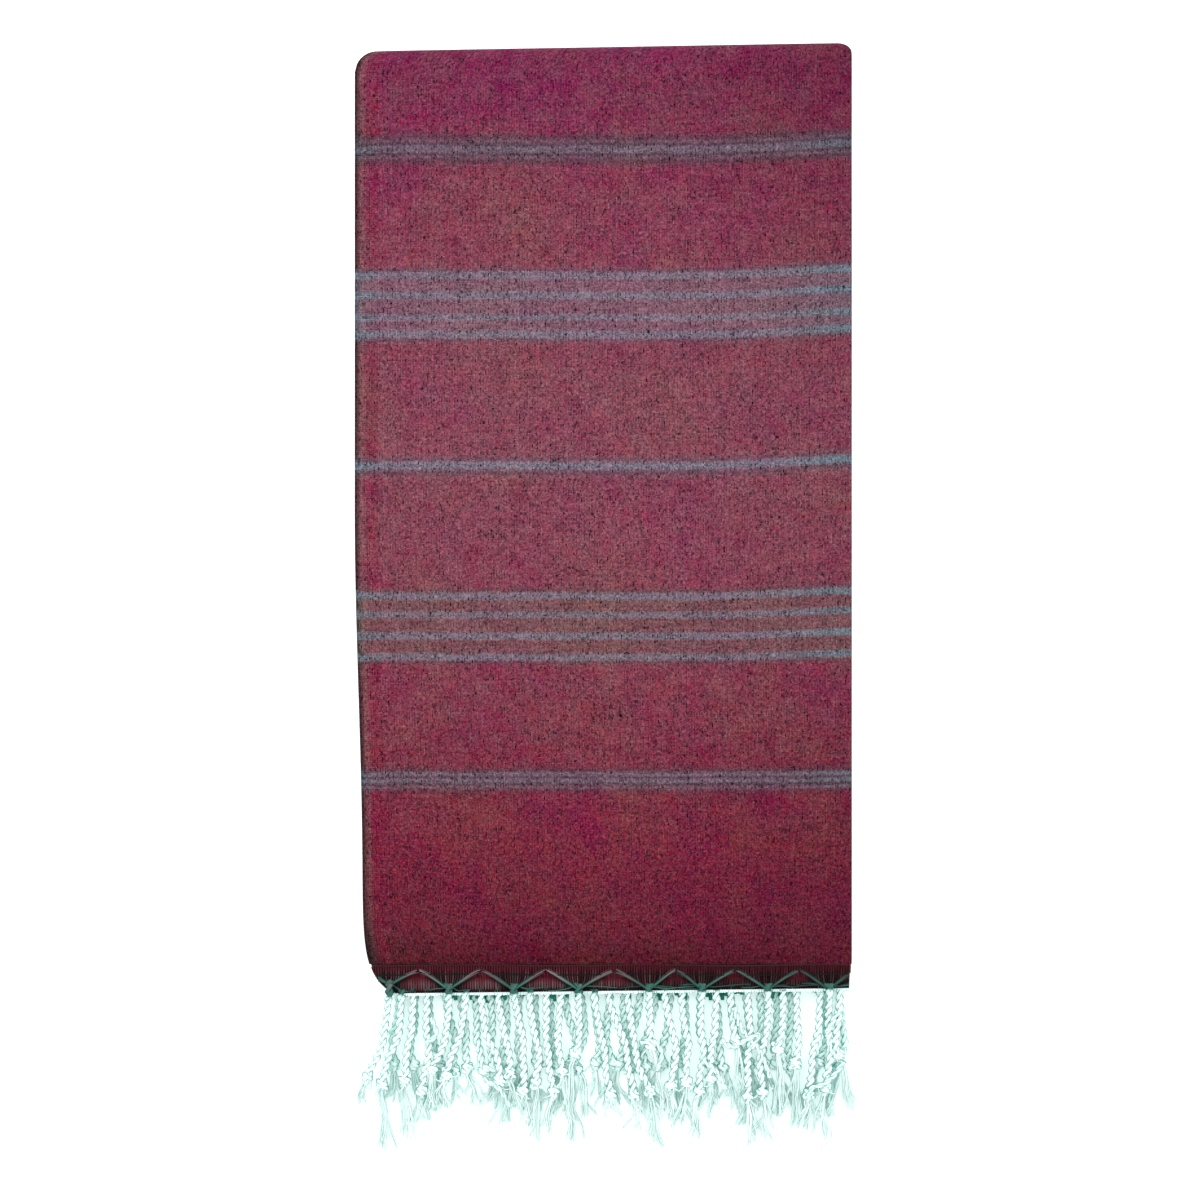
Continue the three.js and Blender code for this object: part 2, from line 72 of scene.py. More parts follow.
# Creases of the solid: centre, half width and length, height as a share, turn
CREASES = [
    (48, 62, 9, 60, -0.035, 0.05),
    (30, 50, 11, 45, 0.025, 0.1),
    (-95, 330, 12, 120, 0.02, -0.03),
    (92, 440, 16, 42, -0.05, 0.9),
    (70, 180, 26, 150, 0.03, 0.04),
    (-40, 120, 30, 90, -0.025, -0.12),
]
# Finer troughs and ridges: centre, half width and length, height in mm, turn
FINE_CREASES = [
    (48, 80, 3.5, 52, -0.5, 0.02),
    (53, 84, 3, 44, 0.35, 0.03),
    (-20, 60, 5, 36, -0.3, -0.1),
    (-88, 70, 5, 42, 0.35, 0.06),
    (100, 70, 4, 50, 0.3, -0.02),
    (112, 300, 5, 90, 0.35, 0.01),
    (-60, 210, 8, 70, -0.3, 0.15),
    (10, 300, 10, 80, 0.3, -0.25),
    (-105, 180, 5, 60, -0.3, 0.02),
    (60, 420, 12, 22, -0.4, 1.3),
    (-70, 440, 14, 16, -0.35, -1.4),
]
# The upper cords: place, lean, how far down the knot and the tip are, and the node they belong to
UPPER_CORDS = [
    (-107.4, -11.5, 43, 60, 0),
    (-101.5, -8, 47, 81, 1),
    (-95.5, -4, 45, 76, 2),
    (-88.5, -1, 50, 69, 2),
    (-77.4, -7, 39, 61, 0),
    (-69, -12, 42, 60, 1),
    (-61.5, 9, 45, 54, 2),
    (-53, 9, 41, 65, 2),
    (-44.8, 7, 50, 69, 0),
    (-37, 5, 46, 78, 1),
    (-28.5, 2, 50, 74, 2),
    (-21, -4, 40, 60, 2),
    (-12.2, -3, 31, 80, 0),
    (-4.5, 8, 52, 65, 1),
    (2.5, 14, 53, 73, 2),
    (12, 9, 50, 81, 2),
    (23.1, 5, 27, 67, 0),
    (31, 8, 47, 67, 1),
    (40, 1, 46, 71, 2),
    (49.7, -2, 50, 76, 0),
    (57, -3, 44, 61, 1),
    (64.5, 4, 25, 58, 2),
    (73, 1, 53, 80, 2),
    (82.8, -2, 51, 77, 0),
    (90.5, -1, 29, 64, 1),
    (97.5, -0.5, 36, 66, 2),
    (110, -5, 52, 72, 2),
    (113.5, -1, 49, 80, 0),
    (119, 1, 32, 64, 1),
]
LOWER_COUNT, LOWER_FROM, LOWER_TO = 29, -103, 120
LOWER_GAP = (98.5, 108.5)
# How far the lower cords lean by the place of their roots
LOWER_LEAN = [(-115, -5), (-85, 5), (-66, 10), (-40, -4), (-15, 6), (10, -6), (35, -6)]
LOWER_LEAN += [(60, 7), (90, 2), (122, -3)]
# Half widths of a cord, its knot and its tail, and half the knot's length
CORD, KNOT_WIDE, KNOT_HALF, TAIL_WIDE = 1.8, 3.1, 4, 3
STEP, REACH, GAP = 4, 81, 0.3
# Heights along a cord, from the dye's edge down
UPPER_REST = dict(flat=8.4, knot=6.3, tail=4.4, drop_from=44, drop_to=49, settle=18)
LOWER_REST = dict(flat=2.4, knot=3, tail=1.4, drop_from=30, drop_to=33, settle=4)
# Slack ends that cross the other cords
SLACK = [
    [(59.7, -24.6), (65.3, -27.6), (72.8, -23.6), (78.3, -21.6), (74.8, -28.6)],
    [(50.2, -34.6), (56.7, -39.7), (61.7, -48.7)],
    [(121, -34.6), (117, -41.2), (111, -46.2), (104.9, -48.7), (102.9, -54.7)],
    [(18.6, -26.1), (25.1, -24.6), (29.6, -31.1), (27, -40)],
    [(-89, -26), (-84, -21), (-86.5, -13)],
    [(-60, -44), (-52, -49), (-47, -58)],
    [(66, -8), (70, -19), (79, -30), (84, -43)],
    [(118, -10), (113, -22), (117, -33)],
]
# The strips behind the cords: top, bottom, depth in the pile
STRIP_3 = (8.6, 2.5, 4.9)
STRIP_4 = (8, -1, 6.3)
# The layers' edges at the left and right: depth in the pile from and to, and how far they stand back
LEFT_LOBES = [(1.05, 2, 0.9), (2, 4, 0.5), (4, 6, 1.1), (6, 7, 0.4), (7, 7.97, 1.3)]
RIGHT_LOBES = [(1.05, 2.95, 1.15), (2.95, 4.05, 9), (4.05, 7.95, 0)]
# The layers' ends at the fringe: depth from and to, and how far they reach past the last weft
LAYER_ENDS = [
    (1.05, 2, 6.8),
    (2, 3, 3.6),
    (3, 4, 4.4),
    (4, 5, 3.4),
    (5, 6, 5.2),
    (6, 7, 4),
    (7, 7.97, 4.6),
]
# A cord's centre stays this high, so that its plies clear the floor
CORD_LOWEST = 2.45
LOCKS, LOCK_THREADS = 5, 6
# From rib to rib on the top two layers, and the painted light on each yarn of a gathered group's arm:
# painted shadow on the lowest yarns, a painted highlight on the middle ones
RIB = 1.31
ARM_PAINTED_LIGHT = (0.1, 0.6, 1.1, 1.1, 0.7, 0.35)
# The points of a hidden rib, as shares of the way to the dye's edge
RIB_STEPS = (0, 0.15, 0.3, 0.42, 0.52, 0.62, 0.72, 0.8, 0.87, 0.93)
# A ply stands off from its cord's middle by this share of its radius
PLY_OFFSET = 0.64
# The groove value that tells a loose thread from a cord, where it is 1 at most
LOOSE_THREAD = 2.0
# The floor's half width and the width that the camera sees in metres, its lens and sensor in millimetres
FLOOR_HALF, FRAME_WIDTH, LENS, SENSOR = 12, 0.6024, 85, 36


def clamp01(t):
    return min(1, max(0, t))


def ease(a, b, value):
    t = clamp01((value - a) / (b - a))
    return t * t * (3 - 2 * t)


def mix(a, b, t):
    return a + (b - a) * t


def mixed(a, b, t):
    return [mix(p, q, t) for p, q in zip(a, b)]


def dimmed(colour, share):
    return [c * share for c in colour]


def chance(a, b):
    """A number from 0 to 1 that looks random and is always the same for the same two numbers."""
    n = math.sin(a * 12.9898 + b * 78.233) * 43758.5453
    return n - math.floor(n)


def along(rows, x):
    """The value at x of rows of places and values, eased from one row to the next."""
    i = 0
    while i < len(rows) - 2 and x > rows[i + 1][0]:
        i += 1
    return mix(rows[i][1], rows[i + 1][1], ease(rows[i][0], rows[i + 1][0], x))


def linear(hex_colour):
    """An sRGB hex value as linear red, green and blue."""
    out = []
    for i in (1, 3, 5):
        c = int(hex_colour[i : i + 2], 16) / 255
        out.append(c / 12.92 if c <= 0.04045 else ((c + 0.055) / 1.055) ** 2.4)
    return out


def fold_line(x):
    return mix(FOLD_LEFT, FOLD_RIGHT, clamp01(x / WIDTH + 0.5))


def round_corner(radius, to_corner):
    t = radius - max(0, min(radius, to_corner))
    return radius - math.sqrt(max(0, radius * radius - t * t))


def left_edge(y):
    lean = mix(0.4, 4.2, ease(240, 60, y))
    pull = 13 * math.exp(-max(y, -4) / 11)
    return -WIDTH / 2 + lean + pull + round_corner(13, FOLD_LEFT - y)


def right_edge(y):
    return WIDTH / 2 - round_corner(6, FOLD_RIGHT - y)


def sag(y):
    """How far the pile's top sinks towards the fringe, first in a curve and then straight."""
    t = max(0, TURN_START - y)
    curved = min(t, 14.5)
    return 0.012 * curved * curved + 0.348 * (t - curved)


def mound(crease, x, y):
    """The height of one crease at a place: full in its middle, fading over its half width and length."""
    cx, cy, width, length, height, turn = crease
    u = (x - cx) * math.cos(turn) + (y - cy) * math.sin(turn)
    v = -(x - cx) * math.sin(turn) + (y - cy) * math.cos(turn)
    return height * math.exp(-((u / width) ** 2) - (v / length) ** 2)


def relief(x, y):
    """The pile's height at a place as a share of the full one: a little flatter at the sides, and creased."""
    share = 1 - 0.09 * math.exp(-max(0, x - left_edge(y)) / 7)
    share -= 0.05 * math.exp(-max(0, right_edge(y) - x) / 12)
    fade = ease(20, 70, y) * (1 - ease(430, 465, y))
    return share + fade * sum(mound(crease, x, y) for crease in CREASES)


def fine_relief(x, y):
    """Small creases, and the puckers above each knot, in millimetres."""
    z = sum(mound(crease, x, y) for crease in FINE_CREASES)
    for knot in KNOTS:
        d = x - (knot - WIDTH / 2)
        z += 0.3 * math.exp(-((d / 5) ** 2)) * math.exp(-max(0, y - WEFT_END) / 16)
    return z + 0.12 * math.sin(x / 19 + 1.3 * math.sin(y / 61)) * math.sin(y / 43 + x / 90)


def rough_x(share):
    """A place across the towel by its share of the width, before the edges are followed."""
    return mix(-WIDTH / 2, WIDTH / 2, share)


def in_pile(station, x, depth):
    """Y and z of a place on the folded towel, by its part, how far along that, and its depth in the pile."""
    part, value = station
    centre = fold_line(x) - FOLD_RADIUS
    if part == "front":
        y = mix(WEFT_END, centre, value)
        return y, PILE - sag(y) - depth
    if part == "reach":
        y = WEFT_END - value
        return y, PILE - sag(y) - depth
    if part == "fold":
        r, a = FOLD_RADIUS - depth, math.radians(value)
        return centre + r * math.sin(a), FOLD_RADIUS + r * math.cos(a)
    if part == "under":
        return mix(centre, TURN_START, value), depth
    r, a = TURN_RADIUS - depth, math.radians(value)
    return TURN_START - r * math.sin(a), TURN_RADIUS - r * math.cos(a)


def path_length(station, x):
    """How far along the towel a station is, from the last weft, in millimetres."""
    part, value = station
    front = fold_line(x) - FOLD_RADIUS - WEFT_END
    under = fold_line(x) - FOLD_RADIUS - TURN_START
    if part == "front":
        return value * front
    if part == "reach":
        return -value
    if part == "fold":
        return front + math.radians(value) * FOLD_RADIUS
    if part == "under":
        return front + FOLD_LENGTH + value * under
    return front + FOLD_LENGTH + under + math.radians(value) * TURN_RADIUS


def place(x, y, z):
    """A point of the towel in metres, in the frame of the solids."""
    return x / 1000, (y + SHIFT_Y) / 1000, z / 1000


def lifted(x, y, z):
    top = ease(6, 14, z)
    return x, y, z * relief(x, y) + fine_relief(x, y) * top


def new_piece(name, points, faces, uvs=None, smooth=True):
    mesh = bpy.data.meshes.new(name)
    mesh.from_pydata(points, [], faces)
    if uvs:
        layer = mesh.uv_layers.new(name="cloth")
        for loop in mesh.loops:
            layer.data[loop.index].uv = uvs[loop.vertex_index]
    mesh.polygons.foreach_set("use_smooth", [smooth] * len(mesh.polygons))
    mesh.update()
    obj = bpy.data.objects.new(name, mesh)
    bpy.context.scene.collection.objects.link(obj)
    return obj


def spaced(count):
    return [i / count for i in range(count + 1)]


def shell(name, columns, levels, stations, position, flat):
    """A closed box of grid points: position puts them in space, flat gives their place on the cloth."""
    index, points, uvs = {}, [], []

    def vertex(i, j, k):
        key = (i, j, k)
        if key not in index:
            index[key] = len(points)
            points.append(place(*position(i, j, k)))
            uvs.append(flat(i, j, k))
        return index[key]

    faces = []
    # Each pair of opposite sides: how far apart they are, their two directions, and a point's place
    for apart, wide, long, at in (
        (levels, columns, stations, lambda n, a, b: (a, n, b)),
        (columns, stations, levels, lambda n, a, b: (n, b, a)),
        (stations, levels, columns, lambda n, a, b: (b, a, n)),
    ):
        for n, order in ((0, 1), (apart, -1)):
            for a in range(wide):
                for b in range(long):
                    corners = (a, b), (a + 1, b), (a + 1, b + 1), (a, b + 1)
                    faces.append([vertex(*at(n, *corner)) for corner in corners][::order])
    return new_piece(name, points, faces, uvs)


# Materials


# The kinds of node that the materials are mostly made of, the first two rows with their operation
PLUS, MINUS, TIMES, OVER, TIMES_PLUS = (
    ("ShaderNodeMath", way) for way in ("ADD", "SUBTRACT", "MULTIPLY", "DIVIDE", "MULTIPLY_ADD")
)
LARGER, SIZE, WHOLE, SINE, TURN_BACK = (
    ("ShaderNodeMath", way) for way in ("MAXIMUM", "ABSOLUTE", "FLOOR", "SINE", "PINGPONG")
)
VECTOR, RANGE, MIX = "ShaderNodeVectorMath", "ShaderNodeMapRange", "ShaderNodeMix"
NOISE, RANDOM = "ShaderNodeTexNoise", "ShaderNodeTexWhiteNoise"
SOFT = {"interpolation_type": "SMOOTHSTEP"}
COLOUR = {"data_type": "RGBA"}


def add(tree, kind, *values, **named):
    """Adds one node of a kind, which may come with its operation. Values, sockets and nodes go to its
    open inputs in order, or to the input that a name with a capital gives. Other names are settings."""
    if isinstance(kind, tuple):
        kind, named["operation"] = kind
    node = tree.nodes.new(kind)
    for key, value in named.items():
        if key[0].islower():
            setattr(node, key, value)
    feeds = list(zip([socket for socket in node.inputs if socket.enabled], values))
    feeds += [(node.inputs[key.replace("_", " ")], value) for key, value in named.items() if key[0].isupper()]
    for socket, value in feeds:
        if isinstance(value, bpy.types.Node):
            value = next(out for out in value.outputs if out.enabled)
        if isinstance(value, bpy.types.NodeSocket):
            tree.links.new(value, socket)
        else:
            socket.default_value = (*value[:3], 1) if socket.type == "RGBA" else value
    return node


def new_material(name):
    material = bpy.data.materials.new(name)
    material.use_nodes = True
    material.node_tree.nodes.clear()
    return material


def finish_material(material, colour, normal, roughness, sheen, sheen_tint, glow=(1, 1, 1), strength=0):
    """Open fibres and paper throw back hardly any highlight, so the specular level is low for all."""
    shader = add(
        material.node_tree,
        "ShaderNodeBsdfPrincipled",
        Base_Color=colour,
        Normal=normal,
        Roughness=roughness,
        Specular_IOR_Level=0.07,
        Sheen_Weight=sheen,
        Sheen_Roughness=0.5,
        Sheen_Tint=sheen_tint,
        Emission_Color=glow,
        Emission_Strength=strength,
    )
    add(material.node_tree, "ShaderNodeOutputMaterial", Surface=shader)
    return material


# Where the coloured wefts lie, in millimetres from the last weft: centre, half width, strength
LIGHT_STRIPES = [
    (88.9, 0.8, 0.42),
    (92.2, 1.1, 0.62),
    (95.4, 1, 0.6),
    (154.2, 1.8, 0.72),
    (164.7, 1.8, 0.76),
    (175.3, 1.7, 0.68),
    (184.8, 1.8, 0.76),
    (250.1, 1.9, 0.9),
    (315.8, 1.9, 0.72),
    (324.4, 1.7, 0.66),
    (335.4, 1.9, 0.76),
    (345.4, 1.8, 0.7),
    (404.7, 0.7, 0.32),
    (407.9, 1.1, 0.55),
    (411.2, 0.9, 0.35),
]
DARK_STRIPES = [
    (90.7, 0.6, 0.45),
    (93.8, 0.5, 0.4),
    (97.6, 0.8, 0.3),
    (151.4, 0.7, 0.4),
    (187.8, 0.7, 0.4),
    (246.4, 1, 0.5),
    (253.4, 0.8, 0.4),
    (313, 0.6, 0.35),
    (348.4, 0.7, 0.4),
    (402.4, 0.9, 0.35),
    (406.3, 0.7, 0.6),
    (409.6, 0.7, 0.5),
]
LIGHT_BANDS = [(330.6, 18, 0.33), (249.8, 5, 0.2)]
GREEN_BANDS = [(169.5, 18, 0.25)]
DARK_BANDS = [(92.4, 6, 0.4), (408, 6.5, 0.42)]
LIGHT_SOFT, DARK_SOFT, BAND_SOFT = 0.8, 0.6, 3
# Past this distance the stripes come again in the other order, so both ends of the towel match
MIRROR_AT = 408.7
# The ground's colour drifts along the towel and back: place in millimetres from the last weft
DRIFT_TURN = 470
GROUND = [
    (0, "#470f1c"),
    (17, "#59172b"),
    (57, "#661d31"),
    (133, "#6d2e3f"),
    (213, "#703646"),
    (283, "#703847"),
    (384, "#6e3043"),
    (441, "#672440"),
]
DIAGONAL = 2.1


def around(t, pattern, amount, base):
    """base + amount x (pattern - half): a pattern that keeps its mean."""
    centred = add(t, MINUS, pattern, 0.5)
    return add(t, TIMES_PLUS, centred, amount, base)


def stretched_noise(t, uv, scale, roughness):
    """Noise that changes at its own rate across and along the cloth, given per millimetre."""
    at = add(t, VECTOR, uv, scale, operation="MULTIPLY")
    return add(t, NOISE, at, 1, 3, roughness)


def wave(t, at, length):
    turns = add(t, TIMES, at, 2 * math.pi / length)
    return add(t, SINE, turns)


def crossing_shade(t, uv, wide, high):
    """One random shade for each cell of the weave, drawn at its real size."""
    at = add(t, VECTOR, uv, (wide, high, 1), operation="DIVIDE")
    cell = add(t, VECTOR, at, operation="FLOOR")
    return add(t, RANDOM, cell, noise_dimensions="2D")


def layered(t, ground, layers):
    """Lays each colour over the ones before it, by its share."""
    for share, colour in layers:
        ground = add(t, MIX, share, ground, colour, **COLOUR)
    return ground


def stripe_place(t, uv, u, v, rib):
    """A place's distance along the towel, as the stripes have it: they rise a little towards the
    folded side, wander, and fray more on the selvedge side."""
    rise = add(t, RANGE, u, 160, 280, 0, -4, interpolation_type="SMOOTHERSTEP")
    higher = add(t, RANGE, v, 60, 260, 0.15, 1, **SOFT)
    rise = add(t, TIMES, rise, higher)
    wandered = add(t, TIMES_PLUS, add(t, NOISE, uv, 0.03, 2), 1.2, rise)
    lined = add(t, PLUS, v, wandered)
    half_ribs = add(t, OVER, u, rib / 2)
    half_rib = add(t, WHOLE, half_ribs)
    fray = around(t, add(t, RANDOM, half_rib, noise_dimensions="1D"), 0.9, 0)
    ragged = add(t, RANGE, u, 60, 240, 1.2, 0.35, **SOFT)
    fray = add(t, TIMES, fray, ragged)
    shifted = add(t, PLUS, fray, lined)
    smear = around(t, stretched_noise(t, uv, (0.16, 1.2, 1), 0.65), 2.2, 0)
    smeared = add(t, TIMES_PLUS, smear, ragged, shifted)
    # The wander's mean is taken off again
    centred = add(t, MINUS, smeared, 0.6)
    return add(t, TURN_BACK, centred, MIRROR_AT)


def stripe_mask(t, at, rows, soft):
    """How much of their colour the stripes give to a place."""
    total = None
    for centre, half, strength in rows:
        off = add(t, MINUS, at, centre)
        away = add(t, SIZE, off)
        mask = add(t, RANGE, away, half - soft, half + soft, strength, 0, **SOFT)
        total = mask if total is None else add(t, LARGER, total, mask)
    return total


def ground_colour(t, u, v, colours):
    """The red ground, with the selvedge's own colours, and painted shade at the fold, the rim and the fringe.
    """
    folded_back = add(t, TURN_BACK, v, DRIFT_TURN)
    ramp = add(t, "ShaderNodeValToRGB", add(t, OVER, folded_back, DRIFT_TURN))
    stops = ramp.color_ramp.elements
    stops[0].position, stops[1].position = 0, GROUND[-1][0] / DRIFT_TURN
    for at, _ in GROUND[1:-1]:
        stops.new(at / DRIFT_TURN)
    for stop, (_, hex_colour) in zip(stops, GROUND):
        stop.color = (*linear(hex_colour), 1)
    # Painted shade: the folded side is a little darker, most so towards the two ends
    to_side = add(t, RANGE, u, 150, 250, 0, 1)
    from_middle = add(t, SIZE, add(t, MINUS, v, DRIFT_TURN / 2))
    to_end = add(t, RANGE, from_middle, 60, DRIFT_TURN / 2, 0.12, 0.5)
    painted_fold_shade = add(t, TIMES, to_side, to_end)
    # The selvedge is browner, with a crimson line inside it. Painted shade darkens the cloth where it turns
    # away at the rim, and at the corner by the fringe
    from_line = add(t, SIZE, add(t, MINUS, u, 8.7))
    by_fringe = add(t, RANGE, v, 2, 36, 0.85, 0, **SOFT)
    corner = add(t, TIMES, by_fringe, add(t, RANGE, u, 1, 10, 1, 0, **SOFT))
    # Past the last weft the bare warp lies in the shade of the fan above it
    fan_shade = [c * 0.5 for c in colours.shadow]
    return layered(
        t,
        ramp,
        [
            (painted_fold_shade, colours.shadow),
            (add(t, RANGE, u, 3.5, 6.5, 0.4, 0, **SOFT), colours.selvedge),
            (add(t, RANGE, from_line, 1.5, 5, 0.36, 0, **SOFT), colours.crimson),
            (add(t, RANGE, u, 0.2, 3.8, 0.88, 0, **SOFT), colours.painted_rim_shade),
            (corner, colours.painted_rim_shade),
            (add(t, RANGE, v, -4, 1, 0.75, 0, **SOFT), fan_shade),
        ],
    )


def flat_weave(colours, sizes):
    """Cotton, piece-dyed and flat-woven: ribs of warp, every crossing of a slightly different shade,
    and coloured wefts for the stripes. U and v are millimetres, across the cloth from the selvedge and
    along it from the last weft, and so are the bounds of every range on them."""
    material = new_material("heathered_flat_weave_cotton")
    t = material.node_tree
    uv = add(t, "ShaderNodeUVMap", uv_map="cloth")
    u, v = add(t, "ShaderNodeSeparateXYZ", uv).outputs[:2]
    rib, weft = sizes.rib_spacing * 1000, sizes.weft_spacing * 1000

    shade = crossing_shade(t, uv, rib / 2, weft)
    pick = crossing_shade(t, uv, rib / 2, weft * 2.3)
    tint = add(t, "ShaderNodeSeparateColor", shade.outputs["Color"]).outputs
    flecks = add(t, NOISE, uv, 0.55, 3, 0.7)
    streaks = stretched_noise(t, uv, (0.75, 0.06, 1), 0.6)
    across = stretched_noise(t, uv, (0.05, 0.9, 1), 0.6)
    drift = add(t, NOISE, uv, 0.02, 3, 0.55)
    patch = add(t, NOISE, uv, 0.075, 3, 0.6)
    rib_wave = wave(t, u, rib)

    # The selvedge is beaten harder, so it shows crossed diagonals
    selvedge = add(t, RANGE, u, 9, 14, 1, 0, **SOFT)
    slants = [wave(t, add(t, way, u, v), DIAGONAL) for way in (PLUS, MINUS)]
    crossed = add(t, TIMES, add(t, TIMES, *slants), selvedge)

    value = around(t, shade, 1, 1.14)
    for pattern, amount in ((pick, 0.25), (flecks, 1.1), (streaks, 0.9), (across, 0.8), (patch, 0.55)):
        value = around(t, pattern, amount, value)
    # Slubs: a few crossings much darker or lighter than the rest
    dark_speck = add(t, RANGE, pick, 0.8, 0.95, 0, -0.72)
    light_speck = add(t, RANGE, tint[1], 0.84, 1, 0, 0.75)
    for speck in (dark_speck, light_speck):
        value = add(t, PLUS, value, speck)
    for pattern, amount in ((rib_wave, 0.11), (crossed, 0.22)):
        value = add(t, TIMES_PLUS, pattern, amount, value)

    hue = around(t, tint[0], 0.025, 0.502)
    hue = around(t, drift, -0.05, hue)
    hue = around(t, patch, 0.03, hue)
    # The dye took unevenly, less so near the fringe
    faded_at = add(t, VECTOR, uv, (500, 90, 0), operation="ADD")
    faded = add(t, NOISE, faded_at, 0.09, 5, 0.75)
    uneven = add(t, RANGE, v, 50, 120, 0.15, 0.55, **SOFT)
    saturation = around(t, faded, uneven, 0.98)
    for pattern, amount in ((flecks, -0.25), (drift, 0.3), (tint[2], 0.2)):
        saturation = around(t, pattern, amount, saturation)

    # Wefts: slate grey-blue, turning towards teal on the folded side and at the selvedge
    teal = add(t, RANGE, u, 205, 250, 0, 0.85, **SOFT)
    teal = add(t, TIMES_PLUS, selvedge, 0.5, teal)
    slate = add(t, MIX, teal, colours.stripe, colours.stripe_teal, **COLOUR)
    at = stripe_place(t, uv, u, v, rib)
    worn = add(t, TIMES_PLUS, flecks, 0.7, 0.5)
    light, dark = (
        add(t, TIMES, stripe_mask(t, at, rows, soft), worn, use_clamp=True)
        for rows, soft in ((LIGHT_STRIPES, LIGHT_SOFT), (DARK_STRIPES, DARK_SOFT))
    )
    striped = layered(
        t,
        ground_colour(t, u, v, colours),
        [
            (stripe_mask(t, at, LIGHT_BANDS, BAND_SOFT), slate),
            (stripe_mask(t, at, GREEN_BANDS, BAND_SOFT), colours.stripe_green),
            (stripe_mask(t, at, DARK_BANDS, BAND_SOFT), colours.stripe_dark),
            (dark, colours.stripe_dark),
            (light, slate),
        ],
    )
    shaded = add(t, "ShaderNodeHueSaturation", hue, saturation, value, 1, striped)

    height = add(t, TIMES_PLUS, rib_wave, 0.3, shade)
    height = add(t, PLUS, height, crossed)
    bump = add(t, "ShaderNodeBump", Strength=0.35, Distance=0.00018, Height=height)
    return finish_material(material, shaded, bump, 0.92, 0.05, linear("#b98a90"))


def spun_cotton(colours):
    """Undyed cotton cord, twisted from two plies: matt, with fibres standing off, painted mint shade in the
    grooves and where it turns away, and a faint painted glow. The dyed ends are the same yarn."""
    material = new_material("twisted_cotton_yarn")
    t = material.node_tree
    tone = add(t, "ShaderNodeAttribute", attribute_name="tone")
    groove = add(t, "ShaderNodeAttribute", attribute_name="groove").outputs["Fac"]
    where = add(t, "ShaderNodeTexCoord").outputs
    fibres = add(t, NOISE, where["Object"], 2600, 3, 0.7)
    lumps = add(t, NOISE, where["Object"], 420, 2)
    ridge = add(t, TIMES_PLUS, fibres, 0.25, groove)
    ridge = add(t, TIMES_PLUS, lumps, 0.3, ridge)
    lit = add(t, RANGE, ridge, 0.56, 0.84, 0, 1, **SOFT)
    # A loose thread, which its mark tells from a cord, is lit further round
    loose = add(t, MINUS, groove, 1, use_clamp=True)
    facing = add(t, "ShaderNodeSeparateXYZ", where["Normal"])
    upward = add(t, TIMES_PLUS, loose, 0.25, facing.outputs["Z"])
    sky = add(t, RANGE, upward, 0.25, 0.8, 0, 1, **SOFT)
    lit = add(t, TIMES, lit, sky)
    # Painted shade: the cord darkens to mint in the grooves between its plies and to teal where it turns away
    # from above
    fold = add(t, MIX, sky, colours.side_painted_shade, colours.groove_painted_shade, **COLOUR)
    deep = add(t, MIX, 1, tone, fold, blend_type="MULTIPLY", **COLOUR)
    colour = add(t, MIX, lit, deep, tone, **COLOUR)
    # A painted glow, tinted mint, stands in for light from the white paper passing through the loose cotton,
    # and keeps it pale in the shade
    painted_glow = add(t, MIX, 1, colour, colours.groove_painted_shade, blend_type="MULTIPLY", **COLOUR)
    bump = add(t, "ShaderNodeBump", Strength=0.5, Distance=0.0002, Height=fibres)
    return finish_material(material, colour, bump, 0.9, 0.04, (1, 1, 1), painted_glow, 0.17)


def backdrop_paper(colours):
    """Seamless white studio paper, matt, with the faintest tooth, and lit from behind a little."""
    material = new_material("white_studio_paper")
    t = material.node_tree
    tooth = add(t, NOISE, add(t, "ShaderNodeTexCoord").outputs["Object"], 900, 3)
    bump = add(t, "ShaderNodeBump", Strength=0.02, Distance=0.0001, Height=tooth)
    return finish_material(material, colours.paper, bump, 0.85, 0, (1, 1, 1), linear("#f4fffd"), 0.52)


# Threads and cords


class Strands:
    """Centre lines with a thickness, a number of plies and a colour at each point."""

    def __init__(self):
        self.points, self.edges, self.girth, self.ply, self.tone = [], [], [], [], []

    def lay(self, line, girth, ply, tone):
        start, last = len(self.points), len(line) - 1
        for i, point in enumerate(line):
            self.points.append(place(*point))
            self.girth.append(girth(i / last) if callable(girth) else girth)
            self.ply.append(float(ply))
            self.tone.append(tone(point) if callable(tone) else tone)
            if i:
                self.edges.append((start + i - 1, start + i))

    def mesh(self, name):
        mesh = bpy.data.meshes.new(name)
        mesh.from_pydata(self.points, self.edges, [])
        for key, values in (("girth", self.girth), ("ply", self.ply)):
            mesh.attributes.new(key, "FLOAT", "POINT").data.foreach_set("value", values)
        colours = [c for tone in self.tone for c in (*tone, 1)]
        mesh.attributes.new("tone", "FLOAT_COLOR", "POINT").data.foreach_set("color", colours)
        return mesh


